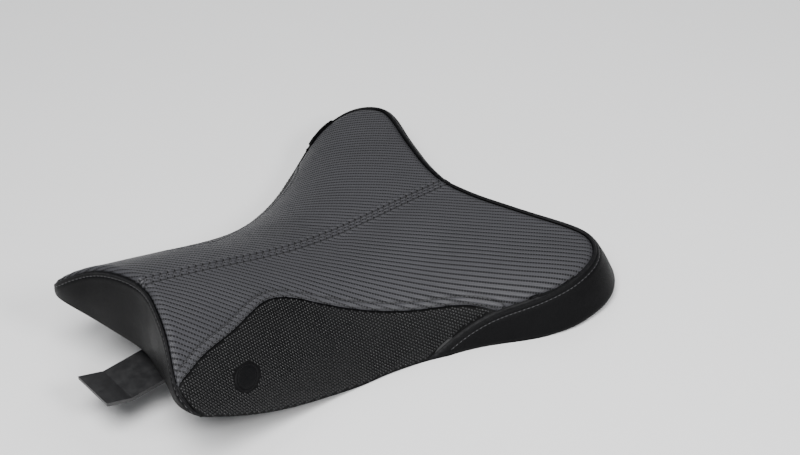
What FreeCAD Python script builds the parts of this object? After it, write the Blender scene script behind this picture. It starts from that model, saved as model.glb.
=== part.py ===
"""Rider's seat of a sport motorcycle, in millimetres.

A moulded plastic pan carries a foam core with two gel pads. A sewn vinyl cover of seven panels is drawn
over the foam and stapled to the pan's inward lip. A steel tongue at the nose slides under the tank's
bracket, and a steel plate at the tail is held down by two captive bolts in rubber-mounted collars.

Stations run forward along +X from the rear end of the centre seam, +Y is the rider's left and +Z is up.
Every sub-part is moved by the same offset, so that the origin is under the middle of the seat.
"""

import FreeCAD, Part
import math
import os
import Sketcher
from FreeCAD import Placement, Rotation, Vector

doc = FreeCAD.newDocument("RiderSeat")
sheet = doc.addObject("Spreadsheet::Sheet", "Dimensions")

# Driving dimensions: alias, value and what it is.
DIMENSIONS = [
    ("origin_station", 144.05, "station that becomes X = 0"),
    ("skin", 1.5, "cover material thickness"),
    ("pan_wall", 3.0, "pan wall thickness"),
    ("lip_inset", 20.0, "outer edge of the seat to the lip's inner edge"),
    ("floor_rear", 20.0, "height of the pan's floor behind the dip"),
    ("rib_depth", 6.0, "depth of the pan's ribs"),
    ("rib_wall", 2.5, "thickness of the pan's ribs"),
    ("gel_depth", 12.0, "thickness of a gel pad"),
    ("gel_station", 40.0, "station of a gel pad's middle"),
    ("gel_side", 66.0, "gel pad's distance from the middle"),
    ("gel_long", 92.0, "gel pad's length"),
    ("gel_wide", 84.0, "gel pad's width"),
    ("tape_width", 18.0, "width of the tape behind the centre seam"),
    ("tape_depth", 0.8, "thickness of the tape"),
    ("plate_low", 8.0, "height of the rear plate's underside"),
    ("plate_thick", 2.5, "thickness of the rear plate"),
    ("plate_rear", -33.0, "rear end of the plate"),
    ("plate_front", 52.0, "front end of the plate"),
    ("plate_half", 33.0, "half width of the plate"),
    ("plate_corner", 10.0, "corner radius of the plate"),
    ("grommet_hole", 7.0, "radius of the plate's grommet holes"),
    ("bolt_station", -24.0, "station of the captive bolts"),
    ("bolt_side", 20.0, "captive bolt's distance from the middle"),
    ("bolt_radius", 3.0, "radius of an M6 thread"),
    ("bolt_neck", 2.3, "radius of the bolt's reduced neck"),
    ("bolt_tip", -7.4, "end of the bolt below the plate's underside"),
    ("collar_low", -2.2, "foot of the collar below the plate's underside"),
    ("collar_top", 4.7, "top of the collar above the plate's underside"),
    ("collar_radius", 4.75, "outer radius of the collar"),
    ("collar_bore", 3.3, "bore of the collar, clear of the thread"),
    ("collar_lip", 1.2, "thickness of the collar's retaining lip"),
    ("neck_bore", 2.5, "bore of the collar's lip and of the washer"),
    ("grommet_radius", 9.0, "radius of the grommet's flanges"),
    ("grommet_flange", 1.6, "thickness of the grommet's flanges"),
    ("washer_radius", 8.0, "radius of the bolt's washer"),
    ("washer_thick", 1.5, "thickness of the bolt's washer"),
    ("head_flange", 6.5, "radius of the bolt head's flange"),
    ("head_flats", 10.0, "width across the bolt head's flats"),
    ("head_tall", 4.0, "height of the bolt's hexagon"),
    ("screw_radius", 2.45, "radius of the M5 screws"),
    ("screw_head", 4.5, "radius of the screws' heads"),
    ("screw_head_tall", 2.5, "height of the screws' heads"),
    ("screw_long", 10.0, "length of the screws' shanks"),
    ("socket_flats", 3.0, "width across the screws' hexagon sockets"),
    ("insert_radius", 3.6, "outer radius of the brass inserts"),
    ("insert_long", 8.0, "length of the brass inserts"),
    ("boss_radius", 7.0, "radius of the pan's screw bosses"),
    ("tongue_low", 29.0, "height of the tongue's underside"),
    ("tongue_thick", 3.0, "thickness of the tongue"),
    ("tongue_rear", 214.0, "rear end of the tongue"),
    ("tongue_bend", 325.0, "station where the tongue turns up"),
    ("tongue_tip", 345.0, "front end of the tongue"),
    ("tongue_rise", 8.0, "how far the tongue's tip turns up"),
    ("tongue_half", 20.0, "half width of the tongue"),
    ("bumper_radius", 11.0, "radius of the rubber bumpers"),
    ("bumper_tall", 12.0, "height of the rubber bumpers"),
    ("bumper_stem", 4.0, "radius of the bumpers' stems"),
    ("bumper_barb", 5.4, "radius of the bumpers' barbs"),
    ("bumper_barb_tall", 3.0, "height of the bumpers' barbs"),
    ("staple_pitch", 26.0, "distance between staples along the lip"),
    ("staple_crown", 10.0, "length of a staple's crown"),
    ("staple_leg", 5.0, "length of a staple's legs"),
    ("staple_wire", 0.6, "thickness of the staple wire"),
    ("staple_wide", 0.9, "width of the staple wire"),
]

# Cross-sections of the seat's top: station, height on the middle line, half width where the flank ends,
# height of the flank's end, and the power that rounds the shoulder between them.
SECTION_COLUMNS = ("station", "crown", "half_width", "flank_end", "shoulder")
SECTIONS = [
    (-80, 42.5, 157, 29, 5.2),
    (0, 49, 144, 41, 4.4),
    (55, 54, 130, 30, 3.9),
    (110, 59, 117, 6, 3.5),
    (165, 70, 104, -0.5, 3.0),
    (220, 88, 98, 11, 2.8),
    (275, 106, 97, 34.5, 2.7),
    (345, 122, 95, 86, 2.3),
]

# Left half of the seat's outline where the side bands are sewn on, from the rear notch to the nose:
# station, distance from the middle, and how far the band leans out for each millimetre of drop.
OUTLINE = [
    (0, 0, 0.21),
    (-3.5, 16, 0.21),
    (-15, 45, 0.23),
    (-28, 80, 0.28),
    (-39, 108, 0.36),
    (-42.5, 130, 0.45),
    (-33, 145.5, 0.50),
    (-10, 153, 0.48),
    (21, 148, 0.48),
    (66, 127, 0.48),
    (105, 116.5, 0.48),
    (140, 112.5, 0.20),
    (180, 107.5, 0),
    (225, 103.5, 0),
    (270, 102, 0),
    (302, 99, 0.05),
    (315, 93, 0.10),
    (318, 85, 0.12),
    (315.5, 74, 0.12),
    (306, 54, 0.12),
    (296.5, 27, 0.12),
    (291, 0, 0.12),
]

# Where the closed outline is split into edges, counted from the rear notch round by the left.
OUTLINE_JOINTS = (4, 7, 10, 14, 17, 21, 25, 28, 32, 35, 38)

# Seam between the top panel and the thigh panel on the left: station and distance from the middle.
THIGH_SEAM = [
    (332, 88),
    (318, 81.5),
    (286, 68.5),
    (253, 59),
    (226, 49.5),
    (211, 46),
    (197, 48),
    (179, 57),
    (155, 70.5),
    (130, 84),
    (108, 95),
    (80, 111),
    (59, 126.5),
    (40, 143),
]

PLATE_SCREWS = [(15, 24), (15, -24), (42, 24), (42, -24)]
TONGUE_SCREWS = [(226, 12), (226, -12), (258, 0)]
# Bumpers on one side: name, station, distance from the middle, height of the seat that they push into.
BUMPERS = [("rear", -18, 112, 17.0), ("middle", 110, 78, 17.0), ("front", 205, 62, 27.0)]

REACH = 260.0  # half size of construction solids, past the seat on every side
SKY = 260.0  # top of construction solids


def write_sheet():
    """Writes every dimension to the sheet, one row each, with its alias."""
    row = 0
    for alias, value, words in DIMENSIONS:
        row += 1
        sheet.set(f"A{row}", words)
        sheet.set(f"B{row}", str(value))
        sheet.setAlias(f"B{row}", alias)
    for index, section in enumerate(SECTIONS):
        for column, value in zip(SECTION_COLUMNS, section):
            row += 1
            sheet.set(f"A{row}", f"section {index}: {column}")
            sheet.set(f"B{row}", str(value))
            sheet.setAlias(f"B{row}", f"{column}_{index}")
    doc.recompute()


def cell(alias):
    """The value of a dimension in the sheet."""
    return float(sheet.get(alias))


write_sheet()
ORIGIN = Vector(-cell("origin_station"), 0, 0)


# ---------------------------------------------------------------- the seat's surfaces


def column_spline(column):
    """A smooth function of the station through one column of the cross-sections."""
    stations = [cell(f"station_{i}") for i in range(len(SECTIONS))]
    values = [cell(f"{column}_{i}") for i in range(len(SECTIONS))]
    curve = Part.BSplineCurve()
    curve.interpolate(Points=[Vector(x, v, 0) for x, v in zip(stations, values)], Parameters=stations)
    return lambda x: curve.value(x).y


crown = column_spline("crown")
half_width = column_spline("half_width")
flank_end = column_spline("flank_end")
shoulder = column_spline("shoulder")
FIRST_STATION = cell("station_0")
LAST_STATION = cell(f"station_{len(SECTIONS) - 1}")


def top_height(x, y):
    """Height of the cover's outer face: flat in the middle and rounding over at the flanks."""
    drop = crown(x) - flank_end(x)
    return crown(x) - drop * (abs(y) / half_width(x)) ** shoulder(x)


def top_normal(x, y):
    """Unit normal of the cover's outer face, from small steps either way."""
    step = 0.5
    rear = max(x - step, FIRST_STATION)
    front = min(x + step, LAST_STATION)
    slope_x = (top_height(front, y) - top_height(rear, y)) / (front - rear)
    slope_y = (top_height(x, y + step) - top_height(x, y - step)) / (2 * step)
    return Vector(-slope_x, -slope_y, 1).normalize()


def under_top(depth):
    """The solid below the cover's outer face, taken in by depth along the normal."""
    rows, columns = 35, 31
    grid = []
    for i in range(rows):
        x = FIRST_STATION + (LAST_STATION - FIRST_STATION) * i / (rows - 1)
        # the surface reaches past the flank's end, and further at the tail, where the bands lean out
        past = 1.22 - 0.15 * min(max((x - 80) / 70, 0), 1)
        row = []
        for j in range(columns):
            share = math.sin((2 * j / (columns - 1) - 1) * math.pi / 2)
            y = half_width(x) * past * share
            row.append(Vector(x, y, top_height(x, y)) - top_normal(x, y) * depth)
        grid.append(row)
    surface = Part.BSplineSurface()
    surface.interpolate(grid)
    return surface.toShape().extrude(Vector(0, 0, -SKY))


def full_outline():
    """The closed outline, with the left half mirrored to the right."""
    return OUTLINE + [(x, -y, lean) for x, y, lean in reversed(OUTLINE[1:-1])]


def outline_curve(level, inset):
    """The smooth outline of the side bands at a level, moved in by inset, and the points it runs through."""
    points = full_outline()
    placed = []
    for i, (x, y, lean) in enumerate(points):
        before = points[i - 1]
        after = points[(i + 1) % len(points)]
        outward = Vector(before[1] - after[1], after[0] - before[0], 0).normalize()
        seam = top_height(x, min(abs(y), 1.05 * half_width(x)))
        drop = seam - min(level, seam + 15)  # above the seam the wall soon stands upright
        placed.append(Vector(x, y, level) + outward * (lean * drop - inset))
    curve = Part.BSplineCurve()
    curve.interpolate(Points=placed, PeriodicFlag=True)
    return curve, placed


def outline_wire(level, inset):
    """The outline at a level, as edges that meet at the outline's joints."""
    curve, points = outline_curve(level, inset)
    joints = [curve.parameter(points[i]) for i in OUTLINE_JOINTS]
    joints = [curve.FirstParameter] + joints + [curve.LastParameter]
    edges = []
    for start, end in zip(joints, joints[1:]):
        piece = curve.copy()
        piece.segment(start, end)
        edges.append(piece.toShape())
    return Part.Wire(edges)


def inside_walls(inset):
    """The solid inside the side bands' outer face, taken in by inset."""
    return Part.makeLoft([outline_wire(level, inset) for level in (-20, 20, 60, 130)], True, True)


def hem_curves():
    """Side view of the cover's lower edge: level in the middle, and rising to the tail and the nose."""
    tail = Part.BSplineCurve()
    tail.interpolate(
        Points=[Vector(-85, 0, 18), Vector(-50, 0, 9.5), Vector(-15, 0, 4.5), Vector(20, 0, 1.3), Vector(55, 0, 0)],
        InitialTangent=Vector(1, 0, -0.28),
        FinalTangent=Vector(1, 0, 0),
    )
    level = Part.LineSegment(Vector(55, 0, 0), Vector(165, 0, 0))
    nose = Part.BSplineCurve()
    nose.interpolate(
        Points=[
            Vector(165, 0, 0),
            Vector(195, 0, 4),
            Vector(225, 0, 12),
            Vector(275, 0, 34),
            Vector(318, 0, 62),
            Vector(350, 0, 88),
        ],
        InitialTangent=Vector(1, 0, 0),
        FinalTangent=Vector(1, 0, 0.82),
    )
    return [tail, level, nose]


def floor_curves():
    """Side view of the pan's floor: level under the rider, and climbing to the nose."""
    rear = cell("floor_rear")
    level = Part.LineSegment(Vector(-85, 0, rear), Vector(120, 0, rear))
    climb = Part.BSplineCurve()
    climb.interpolate(
        Points=[Vector(120, 0, rear), Vector(165, 0, 25), Vector(220, 0, 40), Vector(275, 0, 61), Vector(350, 0, 95)],
        InitialTangent=Vector(1, 0, 0),
        FinalTangent=Vector(1, 0, 0.48),
    )
    return [level, climb]


def above(curves, lift):
    """The solid above a side-view line that is raised by lift, as wide as the construction space."""
    edges = [curve.toShape() for curve in curves]
    start = curves[0].StartPoint
    end = curves[-1].EndPoint
    ceiling = Part.makePolygon([end, Vector(end.x, 0, SKY), Vector(start.x, 0, SKY), start])
    face = Part.Face(Part.Wire(edges + ceiling.Edges))
    face.translate(Vector(0, -REACH, lift))
    return face.extrude(Vector(0, 2 * REACH, 0))


def curve_height(curves, x):
    """Height of a side-view line at a station."""
    line = Part.Line(Vector(x, 0, 0), Vector(x, 0, 1))
    for curve in curves:
        if curve.StartPoint.x - 1e-6 <= x <= curve.EndPoint.x + 1e-6:
            return curve.intersectCC(line)[0].Z
    raise ValueError(f"station {x} is off the line")


def column_at(x, y, radius, low, high):
    """An upright cylinder at a station and side, between two heights."""
    return Part.makeCylinder(radius, high - low, Vector(x, y, low))


def block(x_low, x_high, y_low, y_high, z_low, z_high):
    """A box between two corners."""
    return Part.makeBox(x_high - x_low, y_high - y_low, z_high - z_low, Vector(x_low, y_low, z_low))


def plan_prism(curve_points, corners):
    """The tall solid over a plan region bounded by a smooth line and then by straight corners."""
    curve = Part.BSplineCurve()
    curve.interpolate(Points=[Vector(x, y, -20) for x, y in curve_points])
    closing = [curve.EndPoint] + [Vector(x, y, -20) for x, y in corners] + [curve.StartPoint]
    face = Part.Face(Part.Wire([curve.toShape()] + Part.makePolygon(closing).Edges))
    return face.extrude(Vector(0, 0, SKY))


SKIN = cell("skin")
WALL = cell("pan_wall")
HEM = hem_curves()
FLOOR = floor_curves()

outer_top = under_top(0)
inner_top = under_top(SKIN)
pan_top = under_top(SKIN + WALL)
outer_walls = inside_walls(0)
inner_walls = inside_walls(SKIN)
pan_walls = inside_walls(SKIN + WALL)
above_hem = above(HEM, 0)
above_lip = above(HEM, SKIN)
above_floor = above(FLOOR, 0)
above_ceiling = above(FLOOR, -WALL)
LEFT_SIDE = block(-REACH, 2 * REACH, 0, REACH, -SKY, SKY)
RIGHT_SIDE = block(-REACH, 2 * REACH, -REACH, 0, -SKY, SKY)
SIDES = (("left", 1, LEFT_SIDE), ("right", -1, RIGHT_SIDE))
lip_opening = Part.Face(outline_wire(5, cell("lip_inset"))).extrude(Vector(0, 0, SKY))
lip_opening.translate(Vector(0, 0, -20))
plate_notch = block(-40, 12, -35, 35, -20, cell("plate_low") + 4.5)


# ---------------------------------------------------------------- document objects


def add_shape(label, shape):
    """A sub-part whose shape was worked out above, moved to the seat's own origin."""
    part = doc.addObject("Part::Feature", label)
    part.Label = label
    part.Shape = shape
    part.Placement = Placement(ORIGIN, Rotation())
    return part


def new_body(label, place=Vector(0, 0, 0)):
    """An empty body that stands at a place given in stations."""
    body = doc.addObject("PartDesign::Body", label)
    body.Label = label
    body.Placement = Placement(place + ORIGIN, Rotation())
    return body


def origin_plane(body, role):
    """One of the body's own origin planes, such as XY_Plane."""
    return next(f for f in body.Origin.OriginFeatures if f.Role == role)


def polygon_sketch(body, name, role, corners):
    """A closed polygon whose corners are pairs of expressions, each bound to the sheet."""
    sketch = body.newObject("Sketcher::SketchObject", name)
    sketch.AttachmentSupport = (origin_plane(body, role), "")
    sketch.MapMode = "FlatFace"
    values = [(evaluate(across), evaluate(up)) for across, up in corners]
    count = len(corners)
    for i in range(count):
        first = Vector(*values[i], 0)
        second = Vector(*values[(i + 1) % count], 0)
        sketch.addGeometry(Part.LineSegment(first, second))
    for i in range(count):
        sketch.addConstraint(Sketcher.Constraint("Coincident", i, 2, (i + 1) % count, 1))
    for i, (across, up) in enumerate(corners):
        for kind, expression, value in (("DistanceX", across, values[i][0]), ("DistanceY", up, values[i][1])):
            number = sketch.addConstraint(Sketcher.Constraint(kind, -1, 1, i, 1, value))
            sketch.setExpression(f"Constraints[{number}]", bound(expression))
    return sketch


def circles_sketch(body, name, role, circles):
    """Circles, each given as expressions for its middle's two coordinates and its radius."""
    sketch = body.newObject("Sketcher::SketchObject", name)
    sketch.AttachmentSupport = (origin_plane(body, role), "")
    sketch.MapMode = "FlatFace"
    for i, (across, up, radius) in enumerate(circles):
        middle = Vector(evaluate(across), evaluate(up), 0)
        sketch.addGeometry(Part.Circle(middle, Vector(0, 0, 1), evaluate(radius)))
        for kind, expression, value in (("DistanceX", across, middle.x), ("DistanceY", up, middle.y)):
            number = sketch.addConstraint(Sketcher.Constraint(kind, -1, 1, i, 3, value))
            sketch.setExpression(f"Constraints[{number}]", bound(expression))
        number = sketch.addConstraint(Sketcher.Constraint("Radius", i, evaluate(radius)))
        sketch.setExpression(f"Constraints[{number}]", bound(radius))
    return sketch


def split_terms(expression):
    """An expression's words: aliases, numbers and signs, which stand apart in the text."""
    return str(expression).split()


def bound(expression):
    """The expression with each alias written as a reference to the sheet."""
    words = [f"Dimensions.{word}" if word[0].isalpha() else word for word in split_terms(expression)]
    return " ".join(words)


def evaluate(expression):
    """The expression's value now: a sum of terms, each a product of aliases and numbers."""
    total, product, sign, operator = 0.0, None, 1.0, "*"
    for word in split_terms(expression):
        if word in ("+", "-"):
            total += sign * product if product is not None else 0.0
            product, sign, operator = None, (1.0 if word == "+" else -1.0), "*"
        elif word in ("*", "/"):
            operator = word
        else:
            value = cell(word) if word[0].isalpha() else float(word)
            if product is None:
                product = value
            else:
                product = product * value if operator == "*" else product / value
    return total + sign * product


def pad(body, sketch, expression, midplane=False, downwards=False):
    """Pads a sketch by a length bound to the sheet."""
    feature = body.newObject("PartDesign::Pad", sketch.Name + "Pad")
    feature.Profile = sketch
    feature.Length = evaluate(expression)
    feature.setExpression("Length", bound(expression))
    if midplane:
        feature.SideType = "Symmetric"
    feature.Reversed = downwards
    sketch.Visibility = False
    return feature


def pocket_through(body, sketch):
    """Cuts a sketch right through the body, both ways."""
    feature = body.newObject("PartDesign::Pocket", sketch.Name + "Pocket")
    feature.Profile = sketch
    feature.Type = "ThroughAll"
    feature.SideType = "Symmetric"
    return feature


def turned(body, name, corners):
    """Turns a half profile of radius and height expressions about the body's Z axis."""
    sketch = polygon_sketch(body, name, "XZ_Plane", corners)
    feature = body.newObject("PartDesign::Revolution", name + "Turn")
    feature.Profile = sketch
    feature.ReferenceAxis = (sketch, ["V_Axis"])
    feature.Angle = 360
    return feature


def chamfered(body, name, base, picked, size):
    """Chamfers the edges of base that picked accepts."""
    doc.recompute()
    names = [f"Edge{i + 1}" for i, edge in enumerate(base.Shape.Edges) if picked(edge)]
    feature = body.newObject("PartDesign::Chamfer", name)
    feature.Base = (base, names)
    feature.Size = size
    return feature


def filleted(body, name, base, picked, expression):
    """Rounds the edges of base that picked accepts, by a radius bound to the sheet."""
    doc.recompute()
    names = [f"Edge{i + 1}" for i, edge in enumerate(base.Shape.Edges) if picked(edge)]
    feature = body.newObject("PartDesign::Fillet", name)
    feature.Base = (base, names)
    feature.Radius = evaluate(expression)
    feature.setExpression("Radius", bound(expression))
    return feature


def is_upright(edge):
    """True for a straight edge along Z."""
    direction = edge.valueAt(edge.LastParameter) - edge.valueAt(edge.FirstParameter)
    return direction.Length > 1e-6 and abs(direction.normalize().z) > 0.999


# ---------------------------------------------------------------- cover


def cover_panels():
    """The sewn panels: two tops, two thigh panels, two rear bands and the nose band."""
    crust = outer_top.common(inner_walls).common(above_hem).cut(inner_top)
    ring = outer_top.common(outer_walls).common(above_hem).cut(inner_walls).cut(plate_notch)
    parts = []
    for side, sign, half in SIDES:
        seam = [(x, sign * y) for x, y in THIGH_SEAM]
        outside = plan_prism(seam, [(40, sign * REACH), (400, sign * REACH), (400, sign * 88)])
        side_crust = crust.common(half)
        parts.append(add_shape(f"cover_top_{side}", side_crust.cut(outside)))
        parts.append(add_shape(f"cover_thigh_{side}", side_crust.common(outside)))
        rear = ring.common(half).common(block(-REACH, 200, -REACH, REACH, -REACH, REACH))
        parts.append(add_shape(f"cover_rear_band_{side}", rear))
    nose = ring.common(block(200, 2 * REACH, -REACH, REACH, -REACH, REACH))
    parts.append(add_shape("cover_nose_band", nose))
    return parts


def cover_hem():
    """The cover's edge, folded under the pan's lip."""
    under = inner_top.common(inner_walls).common(above_hem).cut(above_lip)
    return add_shape("cover_hem", under.cut([lip_opening, plate_notch]))


def staple_shape():
    """One staple: its crown on the X axis and its legs upwards."""
    crown_half = cell("staple_crown") / 2
    wire = cell("staple_wire")
    leg = cell("staple_leg")
    corners = [
        (-crown_half, 0),
        (crown_half, 0),
        (crown_half, leg),
        (crown_half - wire, leg),
        (crown_half - wire, wire),
        (wire - crown_half, wire),
        (wire - crown_half, leg),
        (-crown_half, leg),
        (-crown_half, 0),
    ]
    wide = cell("staple_wide")
    face = Part.Face(Part.makePolygon([Vector(x, -wide / 2, z) for x, z in corners]))
    return face.extrude(Vector(0, wide, 0))


def cover_staples():
    """Staples along the middle of the hem, all round but for the rear plate's notch."""
    middle = (cell("lip_inset") + SKIN + WALL) / 2
    edge = outline_curve(5, middle)[0].toShape()
    count = int(edge.Length / cell("staple_pitch"))
    sink = 0.15  # the crown is pressed just below the hem's face
    staples = []
    for i in range(count):
        parameter = edge.getParameterByLength(edge.Length * (i + 0.5) / count)
        point = edge.valueAt(parameter)
        along = edge.tangentAt(parameter)
        if point.x < 20 and abs(point.y) < 46:
            continue
        low = curve_height(HEM, point.x - 1)
        high = curve_height(HEM, point.x + 1)
        slope = (high - low) / 2
        up = Vector(-slope, 0, 1).normalize()
        run = Vector(along.x, along.y, slope * along.x).normalize()
        turn = Rotation(run, up.cross(run), up, "XZY")
        place = Vector(point.x, point.y, (low + high) / 2) + up * sink
        staple = staple_shape()
        staple.Placement = Placement(place, turn)
        staples.append(staple)
    return add_shape("cover_staples", Part.makeCompound(staples))


# ---------------------------------------------------------------- foam, gel and tape


def gel_prism(sign):
    """The tall elliptical column that a gel pad is cut from."""
    middle = Vector(cell("gel_station"), sign * cell("gel_side"), -20)
    long_half, wide_half = cell("gel_long") / 2, cell("gel_wide") / 2
    ellipse = Part.Ellipse(middle, long_half, wide_half)
    return Part.Face(Part.Wire(ellipse.toShape())).extrude(Vector(0, 0, SKY))


def padding():
    """The foam core, with the gel pads and the seam's tape let into its top, and pockets for the barbs."""
    foam = inner_top.common(inner_walls).common(above_floor)
    gel_layer = inner_top.cut(under_top(SKIN + cell("gel_depth")))
    parts = []
    pockets = []
    for side, sign, _ in SIDES:
        pad_shape = gel_layer.common(gel_prism(sign))
        pockets.append(pad_shape)
        parts.append(add_shape(f"gel_pad_{side}", pad_shape))
    half = cell("tape_width") / 2
    strip = block(6, 285, -half, half, -REACH, REACH)
    tape = inner_top.cut(under_top(SKIN + cell("tape_depth"))).common(strip)
    pockets.append(tape)
    parts.append(add_shape("centre_seam_tape", tape))
    top = cell("floor_rear")
    for _, x, y, seat in BUMPERS:
        if seat < top:
            pockets += [column_at(x, sign * y, cell("bumper_barb") + 1.6, top - 1, top + 5) for sign in (1, -1)]
    parts.append(add_shape("foam_core", foam.cut(pockets)))
    return parts


# ---------------------------------------------------------------- pan


def pan_bosses():
    """Columns under the floor that the plate, the tongue and the front bumpers are fixed to."""
    boss = cell("boss_radius")
    plate_top = cell("plate_low") + cell("plate_thick")
    tongue_top = cell("tongue_low") + cell("tongue_thick")
    columns = [column_at(x, y, boss, plate_top, SKY / 2) for x, y in PLATE_SCREWS]
    columns += [column_at(x, y, boss, tongue_top, SKY / 2) for x, y in TONGUE_SCREWS]
    for _, x, y, seat in BUMPERS:
        if seat > cell("floor_rear"):
            columns += [column_at(x, sign * y, cell("bumper_radius") + 1, seat, SKY / 2) for sign in (1, -1)]
    return columns


def pan_ribs():
    """Stiffening ribs under the floor: two lengthways and three across."""
    half = cell("rib_wall") / 2
    ribs = [block(60, 190, sign * 42 - half, sign * 42 + half, -REACH, REACH) for sign in (1, -1)]
    ribs += [block(x - half, x + half, -REACH, REACH, -REACH, REACH) for x in (64, 132, 176)]
    zone = above(FLOOR, -WALL - cell("rib_depth"))
    return [rib.common(zone) for rib in ribs]


def base_pan():
    """The moulded pan: floor, skirt and inward lip, with ribs, bosses and holes."""
    lower = inner_top.common(inner_walls).common(above_lip).cut(above_floor)
    hollow = pan_top.common(pan_walls).cut(above_ceiling).common(above(HEM, SKIN + WALL))
    well = lip_opening.cut(above_ceiling)
    shell = lower.cut(hollow).cut(well)
    room = pan_top.common(pan_walls).cut(above_floor)
    additions = [extra.common(room) for extra in pan_ribs() + pan_bosses()]
    pan = shell.fuse(additions)
    floor_top = cell("floor_rear")
    plate_top = cell("plate_low") + cell("plate_thick")
    tongue_top = cell("tongue_low") + cell("tongue_thick")
    fit = 0.02  # clearance round a pressed insert
    cuts = [plate_notch]
    deep = cell("insert_long") + 0.5
    for screws, level in ((PLATE_SCREWS, plate_top), (TONGUE_SCREWS, tongue_top)):
        cuts += [column_at(x, y, cell("insert_radius") + fit, level - 1, level + deep) for x, y in screws]
    for _, x, y, seat in BUMPERS:
        for sign in (1, -1):
            cuts.append(column_at(x, sign * y, cell("bumper_stem") + 0.1, seat - 1, seat + 60))
            if seat > floor_top:
                cuts.append(column_at(x, sign * y, cell("bumper_barb") + 2.6, seat + WALL, seat + 60))
    return add_shape("base_pan", pan.cut(cuts))


# ---------------------------------------------------------------- steel, rubber and fasteners


def rear_plate():
    """The flat steel plate at the tail, with holes for the grommets and the screws."""
    body = new_body("rear_plate", Vector(0, 0, cell("plate_low")))
    corners = [
        ("plate_rear", "-1 * plate_half"),
        ("plate_front", "-1 * plate_half"),
        ("plate_front", "plate_half"),
        ("plate_rear", "plate_half"),
    ]
    plate = pad(body, polygon_sketch(body, "PlateOutline", "XY_Plane", corners), "plate_thick")
    rounded = filleted(body, "PlateCorners", plate, is_upright, "plate_corner")
    holes = [("bolt_station", "bolt_side", "grommet_hole"), ("bolt_station", "-1 * bolt_side", "grommet_hole")]
    holes += [(x, y, "screw_radius + 0.2") for x, y in PLATE_SCREWS]
    pocket_through(body, circles_sketch(body, "PlateHoles", "XY_Plane", holes))
    return body, rounded


def front_tongue():
    """The steel tongue under the nose, with a turned-up tip and screw holes."""
    body = new_body("front_tongue", Vector(0, 0, cell("tongue_low")))
    corners = [
        ("tongue_rear", "0"),
        ("tongue_bend", "0"),
        ("tongue_tip", "tongue_rise"),
        ("tongue_tip", "tongue_rise + tongue_thick"),
        ("tongue_bend - 0.5", "tongue_thick"),
        ("tongue_rear", "tongue_thick"),
    ]
    sketch = polygon_sketch(body, "TongueSide", "XZ_Plane", corners)
    strip = pad(body, sketch, "tongue_half * 2", midplane=True)
    holes = [(x, y, "screw_radius + 0.2") for x, y in TONGUE_SCREWS]
    pocket_through(body, circles_sketch(body, "TongueHoles", "XY_Plane", holes))
    return body, strip


def grommet(side, place):
    """A rubber grommet with a groove round its waist for the plate."""
    body = new_body(f"grommet_{side}", place)
    gap = 0.05  # clearance to the plate and the collar
    corners = [
        (f"collar_radius + {gap}", f"-1 * grommet_flange - {gap}"),
        ("grommet_radius", f"-1 * grommet_flange - {gap}"),
        ("grommet_radius", f"0 - {gap}"),
        ("grommet_hole - 0.1", f"0 - {gap}"),
        ("grommet_hole - 0.1", f"plate_thick + {gap}"),
        ("grommet_radius", f"plate_thick + {gap}"),
        ("grommet_radius", f"plate_thick + grommet_flange + {gap}"),
        (f"collar_radius + {gap}", f"plate_thick + grommet_flange + {gap}"),
    ]
    turned(body, "GrommetProfile", corners)
    return body


def collar(side, place):
    """A turned steel collar, with a lip inside its top that the bolt's thread can't pass."""
    body = new_body(f"collar_{side}", place)
    corners = [
        ("collar_bore", "collar_low"),
        ("collar_radius", "collar_low"),
        ("collar_radius", "collar_top"),
        ("neck_bore", "collar_top"),
        ("neck_bore", "collar_top - collar_lip"),
        ("collar_bore", "collar_top - collar_lip"),
    ]
    turned(body, "CollarProfile", corners)
    return body


def bolt_washer(side, place):
    """The washer that travels with the bolt."""
    body = new_body(f"bolt_washer_{side}", place)
    corners = [
        ("neck_bore", "collar_top"),
        ("washer_radius", "collar_top"),
        ("washer_radius", "collar_top + washer_thick"),
        ("neck_bore", "collar_top + washer_thick"),
    ]
    turned(body, "WasherProfile", corners)
    return body


def captive_bolt(side, place):
    """A flanged hexagon bolt with a reduced neck between its head and its short thread."""
    body = new_body(f"captive_bolt_{side}", place)
    seat = "collar_top + washer_thick"
    flange = 1.5
    corners = [
        ("0", "bolt_tip"),
        ("bolt_radius - 0.5", "bolt_tip"),
        ("bolt_radius", "bolt_tip + 0.5"),
        ("bolt_radius", "collar_low"),
        ("bolt_neck", "collar_low"),
        ("bolt_neck", seat),
        ("head_flange", seat),
        ("head_flange - 0.6", f"{seat} + {flange}"),
        ("0", f"{seat} + {flange}"),
    ]
    turned(body, "BoltProfile", corners)
    hexagon = []
    for step in range(6):
        angle = math.radians(60 * step + 30)
        half_corner = 0.5 / math.cos(math.radians(30))
        hexagon.append(
            (f"head_flats * {half_corner * math.cos(angle):.9f}", f"head_flats * {half_corner * math.sin(angle):.9f}")
        )
    sketch = polygon_sketch(body, "HeadHexagon", "XY_Plane", hexagon)
    sketch.AttachmentOffset = Placement(Vector(0, 0, evaluate(f"{seat} + {flange}")), Rotation())
    sketch.setExpression(".AttachmentOffset.Base.z", bound(f"{seat} + {flange}"))
    pad(body, sketch, "head_tall")
    return body


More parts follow.
